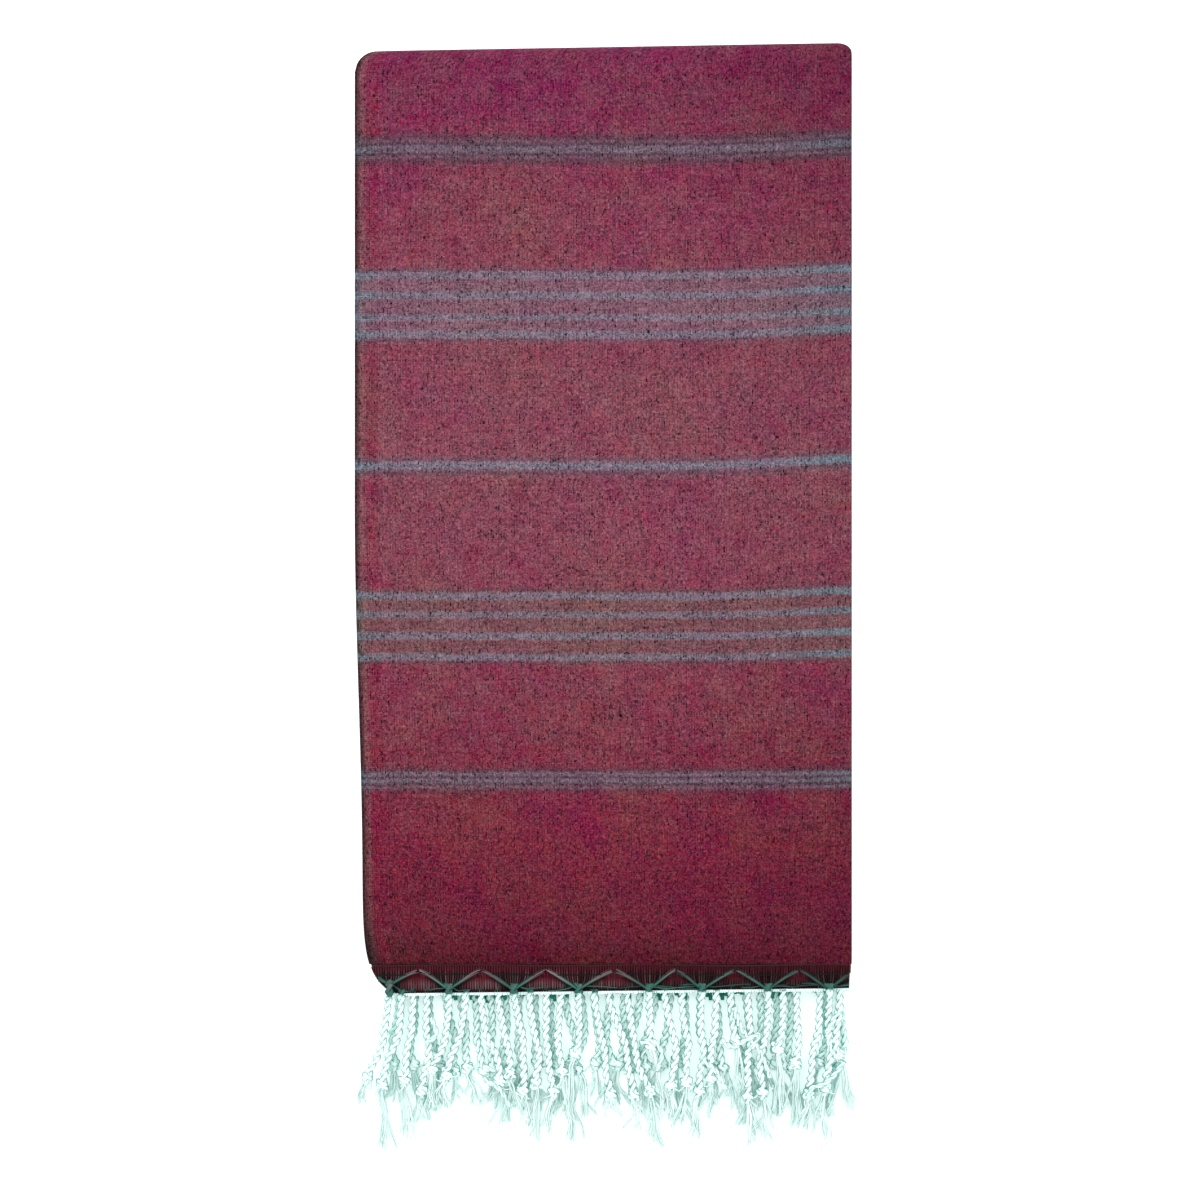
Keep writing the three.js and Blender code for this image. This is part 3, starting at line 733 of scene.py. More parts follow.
def strand_tree(material):
    """Sweeps each centre line: a twisted pair of plies for a cord, one round for a loose thread."""
    tree = bpy.data.node_groups.new("Twisted cords and threads", "GeometryNodeTree")
    face = tree.interface
    face.new_socket("Geometry", in_out="INPUT", socket_type="NodeSocketGeometry")
    for name in ("Twist pitch", "Ply radius", "Thread radius"):
        face.new_socket(name, in_out="INPUT", socket_type="NodeSocketFloat")
    for name in ("Ply sides", "Thread sides"):
        face.new_socket(name, in_out="INPUT", socket_type="NodeSocketInt")
    face.new_socket("Geometry", in_out="OUTPUT", socket_type="NodeSocketGeometry")
    start = add(tree, "NodeGroupInput").outputs
    stored = "GeometryNodeInputNamedAttribute"
    ply, girth = (add(tree, stored, data_type="FLOAT", Name=name) for name in ("ply", "girth"))
    is_cord = add(tree, "FunctionNodeCompare", ply, 0.5, data_type="FLOAT", operation="GREATER_THAN")
    kinds = add(tree, "GeometryNodeSeparateGeometry", start["Geometry"], is_cord, domain="POINT")
    to_curve, sweep = "GeometryNodeMeshToCurve", "GeometryNodeCurveToMesh"
    circle, store = "GeometryNodeCurvePrimitiveCircle", "GeometryNodeStoreNamedAttribute"
    mark = {"data_type": "FLOAT", "domain": "POINT", "Name": "groove"}

    # The pair of plies goes once round for every pitch. Each point is marked with its distance from
    # the cord's middle, which is least in the groove; the material paints shade by this mark
    way = add(tree, "GeometryNodeSplineParameter").outputs["Length"]
    turns = add(tree, OVER, way, start["Twist pitch"])
    tilt = add(tree, TIMES, turns, 2 * math.pi)
    tilted = add(tree, "GeometryNodeSetCurveTilt", add(tree, to_curve, kinds), Tilt=tilt)
    ply_circle = add(tree, circle, start["Ply sides"], start["Ply radius"])
    pair = add(tree, "GeometryNodeJoinGeometry")
    for side in (PLY_OFFSET, -PLY_OFFSET):
        across = add(tree, TIMES, start["Ply radius"], side)
        shift = add(tree, "ShaderNodeCombineXYZ", across)
        moved = add(tree, "GeometryNodeTransform", ply_circle, Translation=shift)
        tree.links.new(moved.outputs[0], pair.inputs[0])
    from_axis = add(tree, VECTOR, add(tree, "GeometryNodeInputPosition"), operation="LENGTH")
    widest = add(tree, TIMES, start["Ply radius"], 1 + PLY_OFFSET)
    share = add(tree, OVER, from_axis, widest)
    marked = add(tree, store, pair, Value=share, **mark)
    plied = add(tree, sweep, tilted, marked, girth, True)

    thin_circle = add(tree, circle, start["Thread sides"], start["Thread radius"])
    plain = add(tree, store, thin_circle, Value=LOOSE_THREAD, **mark)
    thin = add(tree, sweep, add(tree, to_curve, kinds.outputs["Inverted"]), plain, girth, True)

    joined = add(tree, "GeometryNodeJoinGeometry")
    for part in (plied, thin):
        tree.links.new(part.outputs[0], joined.inputs[0])
    smooth = add(tree, "GeometryNodeSetShadeSmooth", joined, Shade_Smooth=True)
    real = add(tree, "GeometryNodeRealizeInstances", smooth)
    add(tree, "NodeGroupOutput", add(tree, "GeometryNodeSetMaterial", real, Material=material))
    return tree


def spun(name, strands, tree, values):
    """Bakes the swept strands into a plain mesh object at the origin."""
    obj = bpy.data.objects.new(name, strands.mesh(name))
    bpy.context.scene.collection.objects.link(obj)
    modifier = obj.modifiers.new("strands", "NODES")
    modifier.node_group = tree
    for socket in tree.interface.items_tree:
        if socket.in_out == "INPUT" and socket.name in values:
            modifier[socket.identifier] = values[socket.name]
    graph = bpy.context.evaluated_depsgraph_get()
    swept = obj.evaluated_get(graph)
    mesh = bpy.data.meshes.new_from_object(swept, preserve_all_data_layers=True, depsgraph=graph)
    obj.modifiers.clear()
    old, obj.data = obj.data, mesh
    bpy.data.meshes.remove(old)
    mesh.name = name
    if not mesh.polygons:
        raise RuntimeError(name + " came out empty")
    return obj


def fan_height(second, y):
    """The height of the warp ends past the last weft, of the top layer or the second."""
    if second:
        return PILE - sag(y) - 1.5
    return mix(PILE - sag(WEFT_END), 13.9, clamp01((WEFT_END - y) / (WEFT_END - 3.5)))


def strip_height(lying, strip, y):
    """The height of a lower strip of warp ends, which may come down to lie by the floor."""
    top, bottom, depth = strip
    if lying:
        return mix(LOWER_REST["flat"], PILE - sag(top) - depth, ease(bottom, top, y))
    return PILE - sag(y) - depth


def all_cords():
    upper, lower = [], []
    for n, (x, lean, knot, tip, node) in enumerate(UPPER_CORDS):
        upper.append(dict(x=x, lean=lean, knot=knot, tip=tip, node=node, rest=UPPER_REST, **sway_of(n, 1)))
    for n in range(LOWER_COUNT):
        low, high = LOWER_GAP
        even = mix(LOWER_FROM, LOWER_TO - (high - low), n / (LOWER_COUNT - 1))
        x = even + high - low if even > low else even
        knot = mix(36, 41, chance(n, 3))
        tip = knot + KNOT_HALF + mix(15, 27, chance(n, 4))
        lean = along(LOWER_LEAN, x) + mix(-2, 2, chance(n, 5))
        lower.append(dict(x=x, lean=lean, knot=knot, tip=tip, node=3, rest=LOWER_REST, **sway_of(n, 2)))
    return upper, lower


def sway_of(n, level):
    """How much a cord sways and where it starts to, and a number of its own for its chances."""
    wave, phase = mix(0.4, 1.3, chance(n, level)), 2 * math.pi * chance(n, level + 10)
    return dict(wave=wave, phase=phase, number=n + 100 * level)


def cord_width(c, s):
    past = s - c["knot"]
    if abs(past) <= KNOT_HALF:
        return mix(CORD, KNOT_WIDE, math.sqrt(1 - (past / KNOT_HALF) ** 2))
    if past < 0:
        return CORD
    return mix(CORD * 0.8, TAIL_WIDE, clamp01((past - KNOT_HALF) / (c["tip"] - c["knot"] - KNOT_HALF)))


def lanes(cords):
    """Where each cord runs, pushed apart so that none touch: the same rule as in the solids."""
    rows = []
    for s in range(-STEP, REACH + STEP + 1, STEP):
        xs = []
        for c in cords:
            down = min(max(0, s) / 45, 1.15)
            swing = c["wave"] * math.sin(s / 8 + c["phase"]) * clamp01(s / 20)
            xs.append(c["x"] + c["lean"] * mix(down**1.6, down, 0.35) + swing)
        widths = [max(cord_width(c, s + d) for d in (-4, -2, 0, 2, 4)) for c in cords]
        for _ in range(200):
            for i in range(len(xs) - 1):
                lack = widths[i] + widths[i + 1] + 2 * GAP - (xs[i + 1] - xs[i])
                if lack > 0:
                    xs[i] -= lack / 2
                    xs[i + 1] += lack / 2
            over = xs[-1] + widths[-1] - WIDTH / 2 + 0.5
            if over > 0:
                xs[-1] -= over
        rows.append(xs)
    return rows


def lane_x(rows, index, s):
    t = (s + STEP) / STEP
    i = max(0, min(len(rows) - 2, math.floor(t)))
    return mix(rows[i][index], rows[i + 1][index], t - i)


def cord_height(c, root, s):
    rest = c["rest"]
    tail_from = max(c["knot"] + 1.5, rest["drop_to"])
    lying = mix(rest["flat"], rest["knot"], ease(rest["drop_from"], rest["drop_to"], s))
    lying = mix(lying, rest["tail"], ease(tail_from, tail_from + 5, s))
    return mix(root[1], lying, ease(root[0], root[0] + rest["settle"], s))


def root_of(c):
    """How far below the dye's edge a cord begins, and how high."""
    if c["node"] == 0:
        return -3.5, fan_height(False, 3.5) - 0.6
    if c["node"] == 1:
        return 0, fan_height(True, 0) - 0.5
    strip = STRIP_3 if c["node"] == 2 else STRIP_4
    return -strip[1], strip_height(c["node"] == 3, strip, strip[1])


def dye_line(x):
    """Where the dyed part ends, in millimetres: a little higher on the folded side."""
    return mix(-1, 2, clamp01(x / WIDTH + 0.5))


def yarn_tone(colours, base, root_painted_shade):
    """A yarn's colour by its place: dyed above the line, teal at it and undyed below, with painted mint shade
    just below the line.
    """

    def tone(point):
        past = point[1] - dye_line(point[0])
        if past < -0.4:
            return mixed(base, colours.cord_painted_shade, ease(7, 0, -past) * root_painted_shade)
        return mixed(colours.warp_end, colours.dyed_knot, ease(7, 1, past))

    return tone


def lay_cord(strands, c, rows, index, colours):
    """One cord of the fringe: its twisted run, its end knot, the ends that curl out of it, and its tail."""
    root, n, under = root_of(c), c["number"], c["node"] == 3
    # Each cord takes a random share of painted mint shade, and the lower cords more of it
    base = mixed(colours.cord, colours.cord_painted_shade, 0.25 * chance(n, 21))
    if under:
        base = mixed(base, colours.cord_painted_shade, 0.2)
    wander = 2 if under else 1.1

    def centre(s):
        near = [lane_x(rows, index, max(s + d, root[0])) for d in (-2, -1, 0, 1, 2)]
        quiver = 0.3 * math.sin(s / 3.1 + c["phase"]) + 0.08 * math.sin(s / 1.4 + 3 * c["phase"])
        x = sum(near) / 5 + ease(0, 15, s) * quiver
        x += wander * ease(5, 28, s) * math.sin(s / 11 + 5 * c["phase"])
        return x, cord_height(c, root, s) + 0.25 * math.sin(s / 3.3 + 2 * c["phase"])

    lay_twist(strands, c, root, centre, yarn_tone(colours, base, 0.5))
    lay_end_knot(strands, c, centre, base)
    lay_curled_ends(strands, c, centre, base)
    lay_tail(strands, c, centre, base, 0.45 if under else 0.6)


def lay_twist(strands, c, root, centre, tone):
    start, end = root[0] - 1.2, c["knot"] + KNOT_HALF * 0.75
    count = max(24, round((end - start) / 1.15))
    line = []
    for i in range(count + 1):
        s = mix(start, end, i / count)
        x, z = centre(s)
        line.append((x, -s, max(z, CORD_LOWEST)))
    strands.lay(line, lambda t: 1 + 0.1 * math.sin(23 * t + c["number"]) * math.sin(9 * t), 1, tone)


def lay_end_knot(strands, c, centre, base):
    """Two slanting wraps of the cord round itself."""
    x, z = centre(c["knot"])
    for wrap, (way, slant) in enumerate(((1, 0.55), (-1, -0.35))):
        loop = []
        for t in spaced(14):
            a = 2 * math.pi * (t * 1.12 + chance(c["number"], 30 + wrap))
            across, up = 1.75 * math.cos(a), 0.95 * math.sin(a)
            down = way * (t - 0.5) * 2.6 + slant * across
            loop.append((x + across, -(c["knot"] + down), z + up))
        strands.lay(loop, 0.86, 1, base)


def lay_curled_ends(strands, c, centre, base):
    """Three short ends that stick out of the knot and curl."""
    knot_x, knot_z = centre(c["knot"])
    for k in range(3):
        a, turn, length = (
            mix(low, high, chance(c["number"], seed + k))
            for low, high, seed in ((-1.25, 1.25, 400), (-2.6, 2.6, 410), (3, 8, 420))
        )
        a -= math.pi / 2
        x, y, z = knot_x, -c["knot"], knot_z + 1.1
        curl = []
        for i in range(11):
            curl.append((x, y, max(0.9, z - 0.15 * i)))
            a += turn / 10
            x += math.cos(a) * length / 10
            y += math.sin(a) * length / 10
        strands.lay(curl, lambda t: mix(2, 1, t), 0, dimmed(base, 0.9))


def lay_tail(strands, c, centre, base, lowest):
    """The brushed tail: a few wavy locks of loose threads, and some threads astray."""
    n = c["number"]
    begin = c["knot"] + KNOT_HALF * 0.55
    for lock in range(LOCKS):
        side = mix(-1, 1, (lock + chance(n, 60 + lock)) / LOCKS)
        rise = mix(-1, 1, chance(n, 70 + lock))
        tip = c["tip"] - 8 * chance(n, 80 + lock) ** 1.5 + 0.6
        curl = mix(-6, 6, chance(n, 90 + lock))
        phase = 6.28 * chance(n, 100 + lock)
        # Each lock is a little darker by a random share, as painted shade among the threads
        tone = dimmed(base, mix(0.88, 1, chance(n, 600 + lock)))
        for k in range(LOCK_THREADS):
            seed = 110 + LOCK_THREADS * lock + k
            stray = 1.8 if chance(n, seed) > 0.9 else 0.55
            off, up = mix(-stray, stray, chance(n, seed + 40)), mix(-0.5, 0.5, chance(n, seed + 80))
            own_tip = tip - 3 * chance(n, seed + 120)
            thread = []
            for t in spaced(9):
                s = mix(begin, own_tip, t)
                x, z = centre(min(s, c["tip"]))
                x += side * mix(0.9, 2.5, t) + off * mix(0.5, 1.9, t * t)
                x += curl * t * t + 0.9 * math.sin(7 * t + phase) * t
                z = max(lowest, z + rise * 0.7 + up + 0.35 * math.sin(4 * t + phase))
                thread.append((x, -s, z))
            strands.lay(thread, lambda t: mix(1.1, 0.6, t), 0, tone)


def smooth_between(a, b, c, d, t):
    """The Catmull-Rom curve from b to c, with a before and d after them."""
    return b + 0.5 * t * (c - a + t * (2 * a - 5 * b + 4 * c - d + t * (3 * (b - c) + d - a)))


def lay_slack(strands, colours):
    """Slack ends of cord that cross the others, most of them on the folded side."""
    for k, corners in enumerate(SLACK):
        last = len(corners) - 1
        line = []
        for i in range(8 * last + 1):
            at = min(i / 8, last - 0.001)
            j, t = int(at), at - int(at)
            near = [corners[max(0, min(last, j + n))] for n in (-1, 0, 1, 2)]
            x, y = (smooth_between(*axis, t) for axis in zip(*near))
            line.append((x, y, 10.2 + 0.6 * math.sin(1.7 * i / 4 + k)))
        # The slack ends take a random share of painted mint shade
        base = mixed(colours.cord, colours.cord_painted_shade, 0.3 + 0.5 * chance(k, 500))
        strands.lay(line, lambda t: 0.8 - 0.2 * t, 1, base)


KNOT_PLACES = [at - WIDTH / 2 for at in KNOTS]


def fan_edge(x):
    """How low the ribs of the top layer reach at x, the knot they go to, and half its group's width."""
    centres = KNOT_PLACES + [KNOT_PLACES[-1] + 29]
    i = min(range(len(centres)), key=lambda n: abs(centres[n] - x))
    other = centres[max(0, i - 1)] if x < centres[i] and i else centres[min(i + 1, len(centres) - 1)]
    half = abs(other - centres[i]) / 2 or 14.5
    reach = min(1, abs(x - centres[i]) / half)
    return mix(5 if i == 0 else 3, 11.4, mix(reach, ease(0, 1, reach), 0.5)), centres[i], half


def lay_fans(strands, colours):
    """The warp ends of the top layer: straight under the last weft, each group bound into its knot."""
    lay_top_ribs(strands, colours)
    for k, knot in enumerate(KNOT_PLACES):
        for side in (-1, 1):
            lay_arm(strands, colours, k, knot, side)
        lay_knot(strands, colours, k, knot)
    for k in range(4 * len(KNOT_PLACES)):
        if k % 4 < 2 or k >= 2 * len(KNOT_PLACES):
            lay_loose_thread(strands, colours, k)
    # The last weft, and a loose one that shows inside each group
    lay_weft(strands, dimmed(colours.warp_end, 0.16), 14.1, 99)
    lay_weft(strands, dimmed(colours.warp_end, 0.06), 9.3, 9)


def lay_top_ribs(strands, colours):
    count = round((WIDTH - 8) / RIB)
    worn = dimmed(colours.warp_end, 1.1)
    for i in range(count):
        x0 = mix(left_edge(12) + 1, WIDTH / 2 - 1.4, i / (count - 1))
        low, knot, _ = fan_edge(x0)
        line = []
        for t in spaced(7):
            y = mix(15.4, low + 0.2, t)
            x = max(mix(x0, knot, 0.3 * ease(9.5, 2, y)), left_edge(y) + 0.5)
            line.append((x, y, fan_height(False, y) * relief(x, y) - 0.6 - 0.3 * chance(i, 40)))

        # Painted shade: the ribs darken down towards the fans' lower edge and towards the folded side; some
        # lighten at random where worn
        def tone(point, seed=i):
            x, y, _ = point
            dim = mix(0.7, 0.05 + 0.5 * chance(seed, 42), ease(14, 9, y)) * mix(1, 0.6, ease(-20, 60, x))
            return dimmed(mixed(colours.dyed_end, worn, 0.95 * ease(13, 8, y) * chance(seed, 41)), dim)

        strands.lay(line, 0.7, 0, tone)


def lay_arm(strands, colours, k, knot, side):
    """The yarns of half a group, which run slanting along its edge into the knot."""
    outer = knot + side * fan_edge(knot + side * 2)[2]
    outer = min(max(outer, left_edge(8) + 1.2), WIDTH / 2 - 1.2)
    for m, painted_light in enumerate(ARM_PAINTED_LIGHT):
        seed = 45 + m + 6 * (side > 0)
        late = 0.12 * chance(k, seed)
        apart = m - (len(ARM_PAINTED_LIGHT) - 1) / 2
        line = []
        for j in range(13):
            t = mix(late, 1, j / 12)
            x = mix(outer, knot + side * apart * 0.22, t)
            y = fan_edge(x)[0] + apart * mix(0.46, 0.24, t) - 1.6 * t**6
            y += 0.35 * (1 - t) * math.sin(5 * t + 6 * chance(seed, k))
            line.append((x, y, fan_height(False, max(y, 3.5)) * relief(x, y) - 0.1 - 0.14 * abs(apart)))
        # Painted light on the yarn, a random tone, and painted shade towards the folded side
        dim = painted_light * mix(0.6, 1.15, chance(k, seed + 20)) * mix(1, 0.7, ease(0, 60, knot))

        def tone(point, dim=dim):
            share = max(ease(13, 3, abs(point[0] - knot)), 0.7 * ease(0, 60, knot))
            return dimmed(mixed(colours.warp_end, colours.dyed_knot, share), dim)

        strands.lay(line, lambda t: mix(0.36, 0.75, t), 0, tone)


def lay_knot(strands, colours, k, knot):
    """The loop round a group's knot, and the neck that comes out below it."""
    first = k == 0
    loop = []
    for t in spaced(14):
        a = 2 * math.pi * (t * 1.1 + chance(k, 50))
        across = (1.2 if first else 1.5) * math.cos(a)
        y = (5 if first else 3.6) + 0.5 * across * (-1) ** k
        loop.append((knot + across, y, 13.3 + 0.9 * math.sin(a)))
    strands.lay(loop, 0.55, 1, dimmed(colours.dyed_knot, 0.9))
    high = 6.4 if first else 4.6
    neck = []
    for i in range(14):
        neck.append((knot + 0.4 * math.sin(i / 2 + k), high - 0.55 * i, 13.2 + 0.4 * math.sin(i / 3)))
    strands.lay(neck, 0.55, 1, yarn_tone(colours, colours.cord, 0.8))


def lay_loose_thread(strands, colours, k):
    """A loose thread that runs from a knot along the lower edge."""
    x0 = KNOT_PLACES[k // 4] + 0.8
    side = -1 if k % 8 in (2, 5, 7) else 1
    length = mix(7, 26, chance(k, 60))
    line = []
    for t in spaced(14):
        x = max(left_edge(2) + 1, min(WIDTH / 2 - 1.5, x0 + side * length * t))
        y = mix(3.2, dye_line(x) + mix(0.7, 2.6, chance(k, 61)), ease(0, 0.5, t)) + 0.5 * math.sin(5 * t + k)
        line.append((x, y, fan_height(True, y) * relief(x, y) + mix(1.2, 0.35, ease(0, 0.4, t))))
    tone = dimmed(colours.dyed_knot, mix(0.25, 1.1, chance(k, 62)))
    strands.lay(line, lambda t: mix(0.75, 0.35, t), 0, tone)


def lay_weft(strands, tone, y0, limit):
    """A weft thread across the ribs, broken where the ribs don't reach down to the limit."""
    runs = [[]]
    for i in range(401):
        x = mix(left_edge(y0) + 1.2, WIDTH / 2 - 1.2, i / 400)
        if fan_edge(x)[0] > limit:
            runs.append([])
            continue
        z = fan_height(False, y0) * relief(x, y0) - 0.25 + 0.22 * (-1) ** i
        runs[-1].append((x, y0 + 0.3 * math.sin(x / 14), z))
    for line in runs:
        if len(line) > 3:
            strands.lay(line, 0.62, 0, tone)


def lay_ribs(strands, colours, top, bottom, height, spacing, shade, seed):
    """A hidden layer's straight warp ends, seen in the gaps between the fans, with painted shadow under them.
    """
    count = round((WIDTH - 6) / spacing)
    second = shade == 1
    painted_shadow = dimmed(colours.dyed_end, 0.1)
    # Below the dye's edge the second layer's ends are undyed cotton with a little painted mint shade; the
    # deeper layers' ends are painted dark teal, as the shade between the cords' roots
    cord = mixed(colours.cord, colours.cord_painted_shade, 0.3) if second else colours.shade_teal

    def girth(t):
        return mix(1.25, 0.8, ease(0.3, 0.6, t)) + 0.5 * ease(0.8, 0.92, t)

    for i in range(count):
        x = mix(left_edge(top) + 0.8, WIDTH / 2 - 1.6, i / (count - 1)) + 0.15 * (chance(i, seed) - 0.5)
        low, knot, _ = fan_edge(x)
        group = chance(i // 2, seed + 1)
        # The deeper layers' ends hang on in places below the dye's edge, as dark teal painted shade
        ragged = 0.4 * group if second else 4.5 * ease(0.62, 1, group) * (1 if i % 2 else 0.6)
        edge = dye_line(x)
        ys = [mix(top, edge, share) for share in RIB_STEPS]
        ys += [edge + 0.06, edge - 0.1, edge + bottom - ragged]
        line = [(max(x, left_edge(y) + 0.6), y, height(y) * relief(x, y) - 0.35) for y in ys]

        # Painted shadow: each end darkens to near black under the fans' arms, by the knots and just above the
        # dye's edge; the deeper layers, the folded side and the lower part are darker too. The lighter worn
        # ends are random
        def tone(point, light=0.2 + 0.8 * chance(i, seed + 2), low=low, away=abs(x - knot)):
            x, y, _ = point
            past = y - dye_line(x)
            if past < 0:
                return cord
            share = 0.7 * light * ease(7, 4, y) * ease(0.8, 1.8, past)
            dyed = mixed(colours.dyed_end, colours.warp_end, share)
            dim = shade * mix(0.9, 0.3, ease(-10, 50, x) * ease(9, 5, y)) * mix(0.6, 1, light)
            open_sky = ease(0.9, 4.2, low - y) * ease(3, 9, away) * ease(0.8, 2.4, past)
            return mixed(painted_shadow, dimmed(dyed, dim), open_sky)

        # The deeper layers' ends are thick enough to close up, as a dark backing of painted shade
        strands.lay(line, girth if second else 1.7, 0, tone)


# Settings and operators


def length_setting(name, description, default, low, high):
    return FloatProperty(
        name=name,
        description=description,
        default=default,
        min=low,
        max=high,
        subtype="DISTANCE",
        unit="LENGTH",
        precision=5,
    )


class TowelSizes(bpy.types.PropertyGroup):
    rib_spacing: length_setting("Rib spacing", "From one warp rib to the next", 0.0013, 0.0004, 0.004)
    weft_spacing: length_setting("Weft spacing", "From one weft thread to the next", 0.00062, 0.0003, 0.003)
    cloth: length_setting("Cloth thickness", "One layer of the flat weave", 0.001, 0.0005, 0.0012)
    ply_radius: length_setting("Ply radius", "Half the thickness of a ply", 0.00132, 0.0005, 0.0015)
    twist_pitch: length_setting("Twist pitch", "Length of cord to one turn of a ply", 0.0088, 0.004, 0.03)
    thread_radius: length_setting("Thread radius", "Half a loose thread's thickness", 0.00033, 0.0001, 0.0006)
    yarn_radius: length_setting("Yarn radius", "Half a warp end's thickness", 0.00052, 0.0002, 0.001)
    ply_sides: IntProperty(name="Ply sides", description="Faces round each ply", default=8, min=5, max=12)


def colour_setting(name, description, hex_colour):
    return FloatVectorProperty(
        name=name, description=description, default=linear(hex_colour), min=0, max=1, size=3, subtype="COLOR"
    )


class TowelColours(bpy.types.PropertyGroup):
    shadow: colour_setting("Deep red", "The ground in the shade of the folded side", "#4c1026")
    crimson: colour_setting("Crimson", "The line inside the selvedge", "#6d1530")
    # Painted shade: the ground where the cloth turns away at its edge
    painted_rim_shade: colour_setting("Rim", "The ground where it turns away at an edge", "#221317")
    selvedge: colour_setting("Selvedge", "The beaten strip along the long side", "#6c4a4a")
    stripe: colour_setting("Stripe", "The slate wefts of the wide stripes", "#66616f")
    stripe_teal: colour_setting("Stripe at the fold", "The same wefts on the folded side", "#4d6a73")
    stripe_green: colour_setting("Lower group", "The wefts between the lower group's four lines", "#4a5a50")
    stripe_dark: colour_setting("Fine stripe", "The darker wefts of the fine lines", "#39363f")
    dyed_end: colour_setting("Dyed warp end", "Warp threads just past the last weft", "#701b2a")
    warp_end: colour_setting("Worn warp end", "The outer threads of each gathered group", "#7f686c")
    dyed_knot: colour_setting("Dyed knot", "The knotted groups, teal-grey from the dye's edge", "#3f6a61")
    # Painted shade: the dark teal cut ends between the cords' roots
    shade_teal: colour_setting("Shade between cords", "The cut warp ends between the cords' roots", "#2f8171")
    cord: colour_setting("Cord", "Undyed cotton", "#fbfffd")
    # Painted shade: undyed cotton in the shade deep in the fringe
    cord_painted_shade: colour_setting("Cord in shade", "Undyed cotton deep in the fringe", "#e2f6f4")
    # Painted shade: the cord's colour in the grooves between its plies
    groove_painted_shade: colour_setting("Groove", "What is left of the cord's colour between its plies", "#a9dfd8")
    # Painted shade: the cord's colour where it turns away from above
    side_painted_shade: colour_setting("Cord's edge", "What is left of it where the cord turns away", "#589f98")
    paper: colour_setting("Backdrop", "The studio paper", "#f8fbfa")


def settings():
    scene = bpy.context.scene
    return scene.towel_sizes, scene.towel_colours


def shared_material(name, make, *args):
    return bpy.data.materials.get(name) or make(*args)


class TOWEL_OT_folded_cloth(bpy.types.Operator):
    """Makes the outermost layer: front, last fold, underside and the wrap down the folded side"""

    bl_idname = "towel.folded_cloth"
    bl_label = "Folded cloth"

    def execute(self, context):
        sizes, colours = settings()
        wall = sizes.cloth * 1000
        # Across: a share of the width, then the angle round the folded side, then the lip below it
        columns = [(c, 0, 0) for c in [0, 0.004, *spaced(64)[1:]]]
        columns += [(1, a, 0) for a in range(20, 181, 20)] + [(1, 180, WRAP_LIP * t) for t in (0.33, 0.66, 1)]
        stations = [("front", t) for t in [0, 0.003, 0.008, *spaced(120)[2:-1]]]
        stations += [("fold", a) for a in range(0, 180, 10)]
        stations += [("under", t) for t in spaced(32)[:-1]]
        stations += [("turn", TURN_END * t) for t in spaced(12)]

        def position(i, j, k):
            share, angle, lip = columns[i]
            station = stations[k]
            inner, turned = j * wall, math.radians(angle)
            depth = WRAP_RADIUS - (WRAP_RADIUS - inner) * math.cos(turned)
            turning = clamp01(station[1] / 28) if station[0] == "turn" else 0
            pressed = depth * mix(1, TURN_PRESS, turning * math.sin(turned / 2))
            y, z = in_pile(station, rough_x(share), pressed)
            bulge = (WRAP_RADIUS - inner) * math.sin(turned) - lip
            x = mix(left_edge(y), right_edge(y) - WRAP_RADIUS, share) + bulge
            return lifted(x, y, z)

        def flat(i, j, k):
            share, angle, lip = columns[i]
            u = share * (WIDTH - WRAP_RADIUS) + math.radians(angle) * WRAP_RADIUS + lip
            return u, path_length(stations[k], rough_x(share))

        obj = shell("folded_cloth", len(columns) - 1, 1, len(stations) - 1, position, flat)
        obj.data.materials.append(shared_material("heathered_flat_weave_cotton", flat_weave, colours, sizes))
        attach(obj, "root")
        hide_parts("outer_sheet")
        return {"FINISHED"}


class TOWEL_OT_stacked_layers(bpy.types.Operator):
    """Makes the hidden layers as one solid, with each layer's selvedge or fold showing at the sides"""

    bl_idname = "towel.stacked_layers"
    bl_label = "Stacked layers"

    def execute(self, context):
        sizes, colours = settings()
        lobes = LEFT_LOBES + RIGHT_LOBES
        bounds = sorted({b for lobe in lobes for b in lobe[:2]} | {3, 5})
        depths = []
        for low, high in zip(bounds, bounds[1:]):
            if high - low > 0.05:
                depths += [mix(low, high, t) for t in (0.03, 0.2, 0.5, 0.8, 0.97)]

        def inset(lobes, depth, y, seed):
            """How far a layer's rounded edge stands back from the outline."""
            for n, (low, high, base) in enumerate(lobes):
                if low <= depth <= high:
                    t = (2 * depth - low - high) / (high - low)
                    wave = 0.35 * math.sin(y / (31 + 9 * n) + 2.1 * n + seed) if base < 5 else 0
                    return max(0.05, base + wave + (high - low) / 2 * (1 - math.sqrt(max(0, 1 - t * t))))
            return 1

        across = [0, 0.006, *spaced(24)[1:-1], 0.994, 1]
        stations = [("reach", 1)] + [("front", t) for t in [0, 0.008, 0.018, *spaced(90)[3:-1]]]
        stations += [("fold", a) for a in range(0, 180, 15)]
        stations += [("under", t) for t in spaced(28)[:-1]] + [("under", 0.999)]

        def position(i, j, k):
            depth, station = depths[j], stations[k]
            if station[0] == "reach":
                station = ("reach", next((r for low, high, r in LAYER_ENDS if low <= depth <= high), 4))
            y, z = in_pile(station, rough_x(across[i]), depth)
            right = right_edge(y) - inset(RIGHT_LOBES, depth, y, 5)
            x = mix(left_edge(y) + inset(LEFT_LOBES, depth, y, 1), right, across[i])
            return lifted(x, y, z)

        def flat(i, j, k):
            u = across[i] * WIDTH
            if across[i] in (0, 1):
                u = (30 if across[i] else 3) + 0.9 * depths[j]
            return u, path_length(stations[k], rough_x(across[i])) + 13 * (j % 5)

        obj = shell("stacked_layers", len(across) - 1, len(depths) - 1, len(stations) - 1, position, flat)
        obj.data.materials.append(shared_material("heathered_flat_weave_cotton", flat_weave, colours, sizes))
        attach(obj, "root")
        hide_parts("inner_layers")
        return {"FINISHED"}


